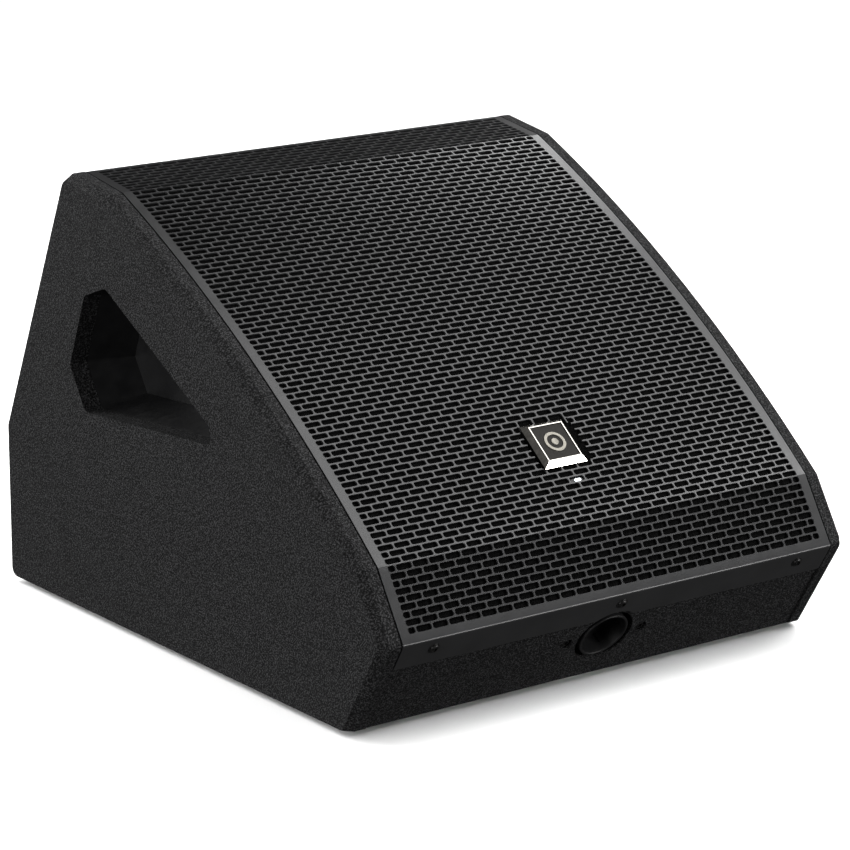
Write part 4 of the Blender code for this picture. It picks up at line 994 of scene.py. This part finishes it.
class MONITOR_OT_badge(bpy.types.Operator):
    """Build the bevelled badge with its plain ring emblem"""
    bl_idname = "monitor.badge"
    bl_label = "Build Badge"

    clearance = 0.0003
    ground_drop = 0.0006
    emblem_rise = 0.0005
    ring = (0.0088, 0.0062)
    disc = 0.0030
    disc_drop = 0.0004
    edge_bevel = 0.00018
    bevel_angle = 0.5

    def execute(self, context):
        settings = context.scene.monitor_badge
        place = badge_frame()
        trim = self.trim(settings, place)
        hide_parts("badge_plate")
        self.ground(settings, place)
        self.emblem(settings, place)
        return {"FINISHED"}

    def trim(self, settings, place):
        """Closed frame: foot, sloping bevel, flat rim and a short inner wall."""
        top = settings.rise
        inner = settings.bevel + settings.rim
        sections = ((0.0, self.clearance), (0.0, self.clearance + 0.0005), (settings.bevel, top),
                    (inner, top), (inner, top - self.ground_drop), (inner + 0.0004, self.clearance))
        bm = bmesh.new()
        rings = []
        for inset, height in sections:
            x, y = settings.width / 2 - inset, settings.height / 2 - inset
            rings.append([bm.verts.new(place @ Vector((sx * x, sy * y, height)))
                          for sx, sy in ((-1, -1), (1, -1), (1, 1), (-1, 1))])
        join_rings(bm, rings, closed=True)
        bmesh.ops.bevel(bm, geom=[edge for edge in bm.edges if edge.calc_face_angle(0.0) > self.bevel_angle],
                        offset=self.edge_bevel, segments=2, affect="EDGES", profile=0.5)
        return make_piece("badge_trim", bm, "badge")

    def ground(self, settings, place):
        inset = 2 * (settings.bevel + settings.rim + 0.0001)
        outline = rounded_rectangle(settings.width - inset, settings.height - inset, 0.0003, 2)
        bm = bmesh.new()
        add_prism(bm, place, outline, self.clearance + 0.0002, settings.rise - self.ground_drop)
        make_piece("badge_ground", bm, "badge", "badge_ground")

    def emblem(self, settings, place):
        """A plain raised ring around a shallow disc."""
        base = settings.rise - self.ground_drop
        top = base + self.emblem_rise
        outer, inner = self.ring
        edge = 0.0002
        bm = bmesh.new()
        profile = [(outer, base - edge), (outer, top - edge), (outer - edge, top), (inner + edge, top),
                   (inner, top - edge), (inner, base - edge), (outer, base - edge)]
        add_closed_turn(bm, place, profile, 64)
        disc = [(0, base - edge), (self.disc, base - edge), (self.disc, top - edge),
                (self.disc - edge, top), (self.disc * 0.5, top - self.disc_drop / 2),
                (0, top - self.disc_drop)]
        add_turned(bm, place, disc, 48)
        make_piece("badge_emblem", bm, "badge", "badge_emblem")


class MONITOR_OT_status_light(bpy.types.Operator):
    """Set the lens of the status light into its slot"""
    bl_idname = "monitor.status_light"
    bl_label = "Set Status Light"

    lens = (0.0056, 0.0023)
    bezel = (0.0112, 0.0033)
    offset = 0.0008

    def execute(self, context):
        line = sheet_line()
        settings = context.scene.monitor_badge
        place = line.frame(line.fold_distances[1] + settings.light_up)
        bm = bmesh.new()
        add_prism(bm, moved(place, x=self.offset), rounded_rectangle(*self.lens, 0.0010, 6),
                  -0.0026, -0.0004, inset=0.0004)
        make_piece("status_lens", bm, "light")
        bm = bmesh.new()
        add_prism(bm, place, rounded_rectangle(*self.bezel, 0.0015, 6), -0.0030, -0.0011, inset=0.0003)
        make_piece("status_bezel", bm, "moulded_black")
        return {"FINISHED"}


class MONITOR_OT_pole_cup(bpy.types.Operator):
    """Turn the pole cup with its rounded rim and guide ribs"""
    bl_idname = "monitor.pole_cup"
    bl_label = "Turn Pole Cup"

    rim = 0.0008
    floor = 0.002
    ribs = 6
    rib_width = 0.0030
    rib_height = 0.0007
    flange = (0.084, 0.046, 0.010)
    flange_low, flange_high = -0.0183, -0.0153

    def execute(self, context):
        settings = context.scene.monitor_fitting
        place = moved(board_frame(), y=CUP_UP)
        bore, outer = settings.bore_radius, settings.bore_radius + settings.cup_wall
        bottom = -settings.cup_depth
        rim = self.rim
        profile = [(0, bottom - self.floor), (outer - 0.002, bottom - self.floor), (outer, bottom),
                   (outer, -rim)]
        profile += [(outer - rim + rim * math.cos(turn_angle), -rim + rim * math.sin(turn_angle))
                    for turn_angle in (math.radians(step) for step in (30, 60, 90))]
        profile += [(bore + rim - rim * math.sin(turn_angle), -rim + rim * math.cos(turn_angle))
                    for turn_angle in (math.radians(step) for step in (0, 30, 60, 90))]
        profile += [(bore, bottom + 0.004), (bore - 0.003, bottom), (0.004, bottom),
                    (0, bottom - 0.0006)]
        bm = bmesh.new()
        add_turned(bm, place, profile, 96)
        self.add_ribs(bm, place, bore, bottom)
        add_prism(bm, place, rounded_rectangle(*self.flange, 8), self.flange_low, self.flange_high)
        cup = make_piece("pole_cup_liner", bm, "moulded_black")
        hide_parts("pole_cup")
        return {"FINISHED"}

    def add_ribs(self, bm, place, bore, bottom):
        for index in range(self.ribs):
            spoke = place @ Matrix.Rotation(2 * math.pi * index / self.ribs, 4, "Z")
            along = moved(spoke, x=bore) @ Matrix.Rotation(math.pi / 2, 4, "Y")
            half = (-0.006 - bottom - 0.004) / 2
            middle = moved(along, x=-(bottom + 0.004 + half))
            outline = rounded_rectangle(2 * half, self.rib_width, self.rib_width * 0.45, 4)
            add_prism(bm, middle, outline, -self.rib_height, 0.0004, inset=0.0)


class MONITOR_OT_screws(bpy.types.Operator):
    """Drive the screws of the grille, the pole cup and the amplifier plate"""
    bl_idname = "monitor.screws"
    bl_label = "Drive Screws"

    flange_x = (-0.165, 0.0, 0.165)
    cup_x = (-0.034, 0.034)
    cup_seat = -0.0029
    height = 0.0017
    plate_edge = 0.0055

    def execute(self, context):
        settings = context.scene.monitor_fitting
        board = board_frame()
        for index, x in enumerate(self.flange_x, 1):
            bm = bmesh.new()
            place = moved(board, x, GRILLE_SCREW_UP, 0.0018)
            add_screw_head(bm, place, settings.screw_radius, self.height)
            self.add_washer(bm, place, settings.screw_radius * 1.25)
            head = make_piece(f"flange_screw_{index}", bm, "screw_black")
            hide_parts(f"grille_screw_{index}")
        for index, x in enumerate(self.cup_x, 1):
            bm = bmesh.new()
            add_screw_head(bm, moved(board, x, CUP_UP, self.cup_seat), settings.screw_radius, self.height)
            head = make_piece(f"cup_screw_head_{index}", bm, "screw_black")
            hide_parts(f"cup_screw_{index}")
        plate = plate_frame()
        x, y = PLATE_WIDTH / 2 - self.plate_edge, PLATE_LENGTH / 2 - self.plate_edge
        spots = [(sx * x, sy * y) for sx in (-1, 1) for sy in (-1, 0, 1)]
        spots += [(sx * x / 3, sy * y) for sx in (-1, 1) for sy in (-1, 1)]
        bm = bmesh.new()
        for spot in spots:
            add_screw_head(bm, moved(plate, *spot), settings.small_screw, self.height, 0.0001)
        make_piece("plate_screws", bm, "screw_black")
        return {"FINISHED"}

    def add_washer(self, bm, place, radius):
        profile = [(radius, -0.0003), (radius, 0.0001), (radius * 0.94, 0.0003), (radius * 0.5, 0.0003)]
        add_turned(bm, place, profile, 40)


class MONITOR_OT_feet(bpy.types.Operator):
    """Mould the rubber feet with their fixing recess"""
    bl_idname = "monitor.feet"
    bl_label = "Mould Feet"

    recess = 0.0026

    def execute(self, context):
        for index in range(1, 5):
            low, high = (Vector(corner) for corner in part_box(f"foot_{index}"))
            radius, top = (high.x - low.x) / 2, high.z - low.z
            profile = [(0, top), (radius * 0.97, top), (radius, top - 0.0006), (radius * 0.96, 0.0010),
                       (radius * 0.90, 0.0002), (radius * 0.84, 0.0), (radius * 0.52, 0.0),
                       (radius * 0.46, 0.0006), (radius * 0.44, self.recess), (0, self.recess)]
            place = Matrix.Translation(((low.x + high.x) / 2, (low.y + high.y) / 2, low.z))
            bm = bmesh.new()
            add_turned(bm, place, profile, 64)
            foot = make_piece(f"rubber_foot_{index}", bm, "rubber")
            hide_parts(f"foot_{index}")
            bm = bmesh.new()
            recess = moved(place, z=self.recess) @ Matrix.Rotation(math.pi, 4, "X")
            add_screw_head(bm, recess, radius * 0.34, 0.0016)
            make_piece(f"foot_screw_{index}", bm, "screw_black")
        return {"FINISHED"}


class MONITOR_OT_knobs(bpy.types.Operator):
    """Turn the fluted gain knobs and the menu knob, with their printed scales"""
    bl_idname = "monitor.knobs"
    bl_label = "Turn Knobs"

    lift = 0.0017
    gain_height, menu_height = 0.011, 0.013
    marks = 11
    sweep = 300.0

    def execute(self, context):
        settings = context.scene.monitor_fitting
        plate = plate_frame()
        knobs = [("gain_knob_1", COMBO_X[0], GAIN_ROW, settings.gain_radius, self.gain_height, 18),
                 ("gain_knob_2", COMBO_X[1], GAIN_ROW, settings.gain_radius, self.gain_height, 18),
                 ("menu_knob", MENU_X, CONTROL_ROW, settings.menu_radius, self.menu_height, 36)]
        scales = bmesh.new()
        for name, x, y, radius, height, flutes in knobs:
            place = moved(plate, x, y, self.lift)
            bm = bmesh.new()
            self.add_knob(bm, place, radius, height, flutes)
            knob = make_piece("fluted_" + name, bm, "knob_black", body=name)
            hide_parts(name)
            if name != "menu_knob":
                bm = bmesh.new()
                line = rounded_rectangle(0.0010, radius * 0.62, 0.0004, 3)
                add_prism(bm, moved(place, y=-radius * 0.52, z=height), line, -0.0002, 0.00012)
                make_piece(name + "_pointer", bm, "latch_grey", "print_ink", body=name)
                self.add_scale(scales, moved(plate, x, y), radius)
        make_piece("gain_scales", scales, "latch_grey", "print_ink")
        return {"FINISHED"}

    def add_knob(self, bm, place, radius, height, flutes):
        cap = radius * 0.78
        profile = [(0, 0), (radius * 0.92, 0.0), (radius, 0.0006), (radius, 0.0016), (radius * 0.97, 0.0022),
                   (radius * 0.94, height - 0.0014), (radius * 0.90, height - 0.0005), (cap, height),
                   (cap * 0.92, height - 0.0003), (0, height - 0.0004)]
        gripped = (4, 5)
        add_turned(bm, place, profile, flutes * 6,
                   lambda index, angle: 1 + (0.035 * math.cos(flutes * angle) if index in gripped else 0.0))

    def add_scale(self, bm, place, radius):
        for mark in range(self.marks):
            angle = math.radians(self.sweep * (mark / (self.marks - 1) - 0.5))
            size = 0.0022 if mark in (0, self.marks // 2, self.marks - 1) else 0.0014
            spoke = place @ Matrix.Rotation(angle, 4, "Z")
            tick = [(-0.0003, -size / 2), (0.0003, -size / 2), (0.0003, size / 2), (-0.0003, size / 2)]
            add_prism(bm, moved(spoke, y=-radius - 0.0026), tick, 0.00002, 0.00012)


# Angles of the three contacts round a socket's middle, in degrees
CONTACT_ANGLES = (90, 210, 330)


class MONITOR_OT_sockets(bpy.types.Operator):
    """Fit the contacts, pins, blades, collars and flange screws of the sockets"""
    bl_idname = "monitor.sockets"
    bl_label = "Fit Sockets"

    flange = 0.0024
    bore_floor = -0.0122
    inlet_floor = -0.0142
    screw_base = 0.0023
    screw_spot = (0.0098, 0.0122)

    def execute(self, context):
        plate = plate_frame()
        settings = context.scene.monitor_fitting
        heads = bmesh.new()
        for index, x in enumerate(COMBO_X, 1):
            place = moved(plate, x, SOCKET_ROW)
            self.combo(index, place)
            self.add_flange_screws(heads, place, settings)
        place = moved(plate, LINK_X, SOCKET_ROW)
        self.link(place)
        self.add_flange_screws(heads, place, settings)
        place = moved(plate, INLET_X, SOCKET_ROW)
        self.inlet(place)
        for side in (-1, 1):
            add_screw_head(heads, moved(place, side * 0.0200), settings.small_screw * 0.8, 0.0012,
                           self.screw_base)
        make_piece("socket_screws", heads, "screw_black")
        return {"FINISHED"}

    def add_flange_screws(self, bm, place, settings):
        x, y = self.screw_spot
        for sx, sy in ((-1, 1), (1, -1)):
            add_screw_head(bm, moved(place, sx * x, sy * y), settings.small_screw * 0.75, 0.0010,
                           self.screw_base)

    def combo(self, index, place):
        """Jack bush in the middle, ringed by a moulded insert with three contacts on it, and a collar."""
        bm = bmesh.new()
        floor = self.bore_floor
        profile = [(0.0094, floor), (0.0094, floor + 0.0016), (0.0052, floor + 0.0016),
                   (0.0048, floor + 0.0034), (0.0036, floor + 0.0034), (0.0032, floor + 0.0024),
                   (0.0032, floor), (0.0094, floor)]
        add_closed_turn(bm, place, profile, 64)
        make_piece(f"combo_insert_{index}", bm, "moulded_black")
        bm = bmesh.new()
        for angle in CONTACT_ANGLES:
            spoke = place @ Matrix.Rotation(math.radians(angle), 4, "Z")
            add_prism(bm, moved(spoke, x=0.0072), rounded_rectangle(0.0022, 0.0030, 0.0009, 4),
                      floor + 0.0016, floor + 0.0020, inset=0.0002)
        make_piece(f"combo_contacts_{index}", bm, "zinc_steel")
        bm = bmesh.new()
        collar = [(0.0116, self.flange - 0.0002), (0.0114, self.flange + 0.0006),
                  (0.0108, self.flange + 0.0009), (0.0100, self.flange + 0.0006),
                  (0.0098, self.flange - 0.0002), (0.0116, self.flange - 0.0002)]
        add_closed_turn(bm, place, collar, 72)
        make_piece(f"combo_collar_{index}", bm, "moulded_black")

    def link(self, place):
        """Three round pins standing in the link socket."""
        floor = self.bore_floor
        bm = bmesh.new()
        for angle in CONTACT_ANGLES:
            spoke = moved(place @ Matrix.Rotation(math.radians(angle), 4, "Z"), x=0.0054)
            pin = [(0.00125, floor), (0.00125, floor + 0.0070), (0.0009, floor + 0.0078),
                   (0, floor + 0.0081)]
            add_turned(bm, spoke, pin, 20)
        make_piece("link_pins", bm, "zinc_steel")
        bm = bmesh.new()
        ring = [(0.0114, self.flange - 0.0002), (0.0112, self.flange + 0.0004),
                (0.0104, self.flange + 0.0004), (0.0102, self.flange - 0.0002),
                (0.0114, self.flange - 0.0002)]
        add_closed_turn(bm, place, ring, 72)
        make_piece("link_ring", bm, "moulded_black")

    def inlet(self, place):
        """Three flat blades of the mains inlet."""
        floor = self.inlet_floor
        bm = bmesh.new()
        for x, y in ((-0.007, 0.0020), (0.0, -0.0020), (0.007, 0.0020)):
            add_prism(bm, moved(place, x, y), rounded_rectangle(0.0020, 0.0040, 0.0008, 3),
                      floor, floor + 0.0100, inset=0.0005)
        make_piece("inlet_blades", bm, "zinc_steel")


class MONITOR_OT_plate(bpy.types.Operator):
    """Dress the amplifier plate: display frame, indicator lamps and printed lines"""
    bl_idname = "monitor.plate"
    bl_label = "Dress Amplifier Plate"

    display = (0.060, 0.034)
    lamp_radius = 0.0014

    def execute(self, context):
        plate = plate_frame()
        self.display_frame(plate)
        self.lamps(plate)
        self.printed_lines(plate)
        self.rocker_marks(plate)
        return {"FINISHED"}

    def display_frame(self, plate):
        place = moved(plate, sum(COMBO_X) / 2, CONTROL_ROW)
        width, height = self.display
        bm = bmesh.new()
        rings = []
        for grow, rise in ((0.0, 0.0002), (0.0030, 0.0002), (0.0028, 0.0016), (0.0020, 0.0024),
                           (0.0004, 0.0024), (0.0, 0.0019)):
            outline = rounded_rectangle(width + 2 * grow, height + 2 * grow, 0.002 + grow, 6)
            rings.append([bm.verts.new(place @ Vector((x, y, rise))) for x, y in outline])
        join_rings(bm, rings, closed=True)
        make_piece("display_frame", bm, "moulded_black")

    def lamps(self, plate):
        bm = bmesh.new()
        radius = self.lamp_radius
        for x in COMBO_X:
            for drop in (0.0165, 0.0215):
                dome = [(radius, -0.0002), (radius, 0.0003), (radius * 0.8, 0.0008), (radius * 0.4, 0.0011),
                        (0, 0.0012)]
                add_turned(bm, moved(plate, x, GAIN_ROW + drop), dome, 24)
        make_piece("level_lamps", bm, "light", "latch_grey")

    def printed_lines(self, plate):
        """Plain frames printed round the inputs and the mains group."""
        bm = bmesh.new()
        groups = ((sum(COMBO_X) / 2, (GAIN_ROW + SOCKET_ROW) / 2 + 0.001, 0.074, 0.110),
                  (INLET_X, SOCKET_ROW - 0.023, 0.054, 0.086))
        for x, y, width, height in groups:
            self.add_frame_line(bm, moved(plate, x, y), width, height)
        self.add_frame_line(bm, moved(plate, LINK_X, SOCKET_ROW + 0.0010), 0.0330, 0.0380)
        make_piece("printed_lines", bm, "latch_grey", "print_ink")

    def add_frame_line(self, bm, place, width, height):
        line, rise = 0.0004, 0.00010
        rings = []
        for grow, z in ((0.0, 0.00001), (line, 0.00001), (line, rise), (0.0, rise)):
            outline = rounded_rectangle(width + 2 * grow, height + 2 * grow, 0.003 + grow, 6)
            rings.append([bm.verts.new(place @ Vector((px, py, z))) for px, py in outline])
        join_rings(bm, rings, closed=True)

    def rocker_marks(self, plate):
        """A bar and a ring beside the rocker for on and off."""
        bm = bmesh.new()
        place = moved(plate, INLET_X + 0.0165, ROCKER_ROW)
        add_prism(bm, moved(place, y=-0.006), rounded_rectangle(0.0006, 0.0036, 0.0002, 2), 0.00001, 0.0001)
        ring = [(0.0018, 0.00001), (0.0018, 0.0001), (0.0013, 0.0001), (0.0013, 0.00001), (0.0018, 0.00001)]
        add_closed_turn(bm, moved(place, y=0.006), ring, 32)
        make_piece("rocker_marks", bm, "latch_grey", "print_ink")


# Lamps: name, place, the point they are turned to, width and height, and the setting of their power
LAMPS = (
    ("key_lamp", (1.2, -0.6, 1.9), (0.0, 0.0, 0.25), (1.6, 2.0), "key_power"),
    ("crest_lamp", (1.75, 1.0, 1.7), (0.1, 0.1, 0.3), (0.9, 0.7), "crest_power"),
    ("edge_lamp", (1.4, -2.1, 0.3), (0.0, -0.2, 0.1), (1.2, 0.35), "edge_power"),
    ("fold_lamp", (1.22, -1.08, 1.7), (0.0, -0.2, 0.1), (1.6, 0.15), "fold_power"),
    ("back_lamp", (-1.3, 2.3, 1.3), (0.0, 0.1, 0.2), (1.6, 1.6), "back_power"),
    ("fill_lamp", (-2.8, -0.7, 0.9), (0.0, 0.0, 0.2), (1.6, 1.6), "fill_power"),
)


class MONITOR_OT_studio(bpy.types.Operator):
    """Set the floor, the lamps and the camera"""
    bl_idname = "monitor.studio"
    bl_label = "Set Studio"

    floor_size = 60.0
    floor_roughness = 0.9
    floor_lamp_spread = math.radians(100)
    sensor_width = 36.0
    view_end = 100.0

    def execute(self, context):
        settings = context.scene.monitor_studio
        context.scene.view_settings.view_transform = "Standard"
        floor = self.floor(settings)
        self.sky(context, settings)
        self.floor_lamp(context, floor, settings)
        for name, place, aim, size, power_setting in LAMPS:
            self.lamp(name, place, aim, size, getattr(settings, power_setting))
        self.camera(context, settings)
        return {"FINISHED"}

    def floor(self, settings):
        half = self.floor_size / 2
        mesh = bpy.data.meshes.new("studio_floor")
        square = [(-half, -half, 0), (half, -half, 0), (half, half, 0), (-half, half, 0)]
        mesh.from_pydata(square, [], [(0, 1, 2, 3)])
        material = bpy.data.materials.new("floor_paper")
        material.use_nodes = True
        shader = material.node_tree.nodes["Principled BSDF"]
        shader.inputs["Base Color"].default_value = (*settings.floor, 1.0)
        shader.inputs["Roughness"].default_value = self.floor_roughness
        mesh.materials.append(material)
        floor = bpy.data.objects.new("studio_floor", mesh)
        bpy.context.scene.collection.objects.link(floor)
        floor.visible_diffuse = False
        floor.visible_glossy = False
        floor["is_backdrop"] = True
        return floor

    def floor_lamp(self, context, floor, settings):
        """Soft overhead light for the floor alone, which keeps it pale around the dark cabinet."""
        data = bpy.data.lights.new("floor_lamp", "SUN")
        data.energy = settings.floor_power
        data.angle = self.floor_lamp_spread
        lamp = bpy.data.objects.new("floor_lamp", data)
        context.scene.collection.objects.link(lamp)
        lit = bpy.data.collections.new("lit_floor")
        lit.objects.link(floor)
        lamp.light_linking.receiver_collection = lit

    def sky(self, context, settings):
        """Even light all round, with a plain white backdrop behind the object."""
        world = bpy.data.worlds.new("studio")
        context.scene.world = world
        world.use_nodes = True
        nodes, links = world.node_tree.nodes, world.node_tree.links
        light = nodes["Background"]
        light.inputs["Color"].default_value = (1, 1, 1, 1)
        light.inputs["Strength"].default_value = settings.sky
        backdrop = nodes.new("ShaderNodeBackground")
        backdrop.inputs["Color"].default_value = (1, 1, 1, 1)
        backdrop.inputs["Strength"].default_value = 1.0
        path = nodes.new("ShaderNodeLightPath")
        blend = nodes.new("ShaderNodeMixShader")
        links.new(path.outputs["Is Camera Ray"], blend.inputs["Fac"])
        links.new(light.outputs["Background"], blend.inputs[1])
        links.new(backdrop.outputs["Background"], blend.inputs[2])
        links.new(blend.outputs["Shader"], nodes["World Output"].inputs["Surface"])

    def lamp(self, name, place, aim, size, power):
        data = bpy.data.lights.new(name, "AREA")
        data.shape = "RECTANGLE"
        data.size, data.size_y = size
        data.energy = power
        lamp = bpy.data.objects.new(name, data)
        lamp.location = place
        lamp.rotation_euler = (Vector(aim) - Vector(place)).to_track_quat("-Z", "Y").to_euler()
        bpy.context.scene.collection.objects.link(lamp)

    def camera(self, context, settings):
        data = bpy.data.cameras.new("studio_camera")
        data.lens = settings.lens
        data.sensor_width = self.sensor_width
        data.clip_end = self.view_end
        turned = (Matrix.Rotation(-settings.azimuth, 4, "Z")
                  @ Matrix.Rotation(math.pi / 2 - settings.elevation, 4, "X")
                  @ Matrix.Rotation(settings.roll, 4, "Z"))
        camera = bpy.data.objects.new("studio_camera", data)
        camera.matrix_world = (Matrix.Translation(settings.aim) @ turned
                               @ Matrix.Translation((0, 0, settings.distance)))
        context.scene.collection.objects.link(camera)
        context.scene.camera = camera


# ---------------------------------------------------------------- panel and start

OPERATORS = (
    MONITOR_OT_cabinet, MONITOR_OT_grille, MONITOR_OT_foam, MONITOR_OT_badge, MONITOR_OT_status_light,
    MONITOR_OT_pole_cup, MONITOR_OT_screws, MONITOR_OT_feet, MONITOR_OT_knobs, MONITOR_OT_sockets,
    MONITOR_OT_plate, MONITOR_OT_studio,
)


class MONITOR_PT_panel(bpy.types.Panel):
    """Pieces of the stage monitor and their settings"""
    bl_idname = "MONITOR_PT_panel"
    bl_label = "Stage Monitor"
    bl_space_type = "VIEW_3D"
    bl_region_type = "UI"
    bl_category = "Monitor"

    def draw(self, context):
        layout = self.layout
        for name, group in SETTINGS.items():
            box = layout.box()
            box.label(text=group.__doc__)
            for prop in group.__annotations__:
                box.prop(getattr(context.scene, name), prop)
        column = layout.column(align=True)
        for operator in OPERATORS:
            column.operator(operator.bl_idname)


def register():
    for name, group in SETTINGS.items():
        bpy.utils.register_class(group)
        setattr(bpy.types.Scene, name, PointerProperty(type=group))
    for operator in OPERATORS:
        bpy.utils.register_class(operator)
    bpy.utils.register_class(MONITOR_PT_panel)


def unregister():
    bpy.utils.unregister_class(MONITOR_PT_panel)
    for operator in reversed(OPERATORS):
        bpy.utils.unregister_class(operator)
    for name, group in reversed(SETTINGS.items()):
        delattr(bpy.types.Scene, name)
        bpy.utils.unregister_class(group)


def corners(box):
    return [[float(value) for value in corner] for corner in box]


def main():
    register()
    for operator in OPERATORS:
        namespace, name = operator.bl_idname.split(".")
        getattr(getattr(bpy.ops, namespace), name)()
    {"cad": corners(CAD_BOX), "visual": corners(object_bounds())}


if __name__ == "__main__":
    main()
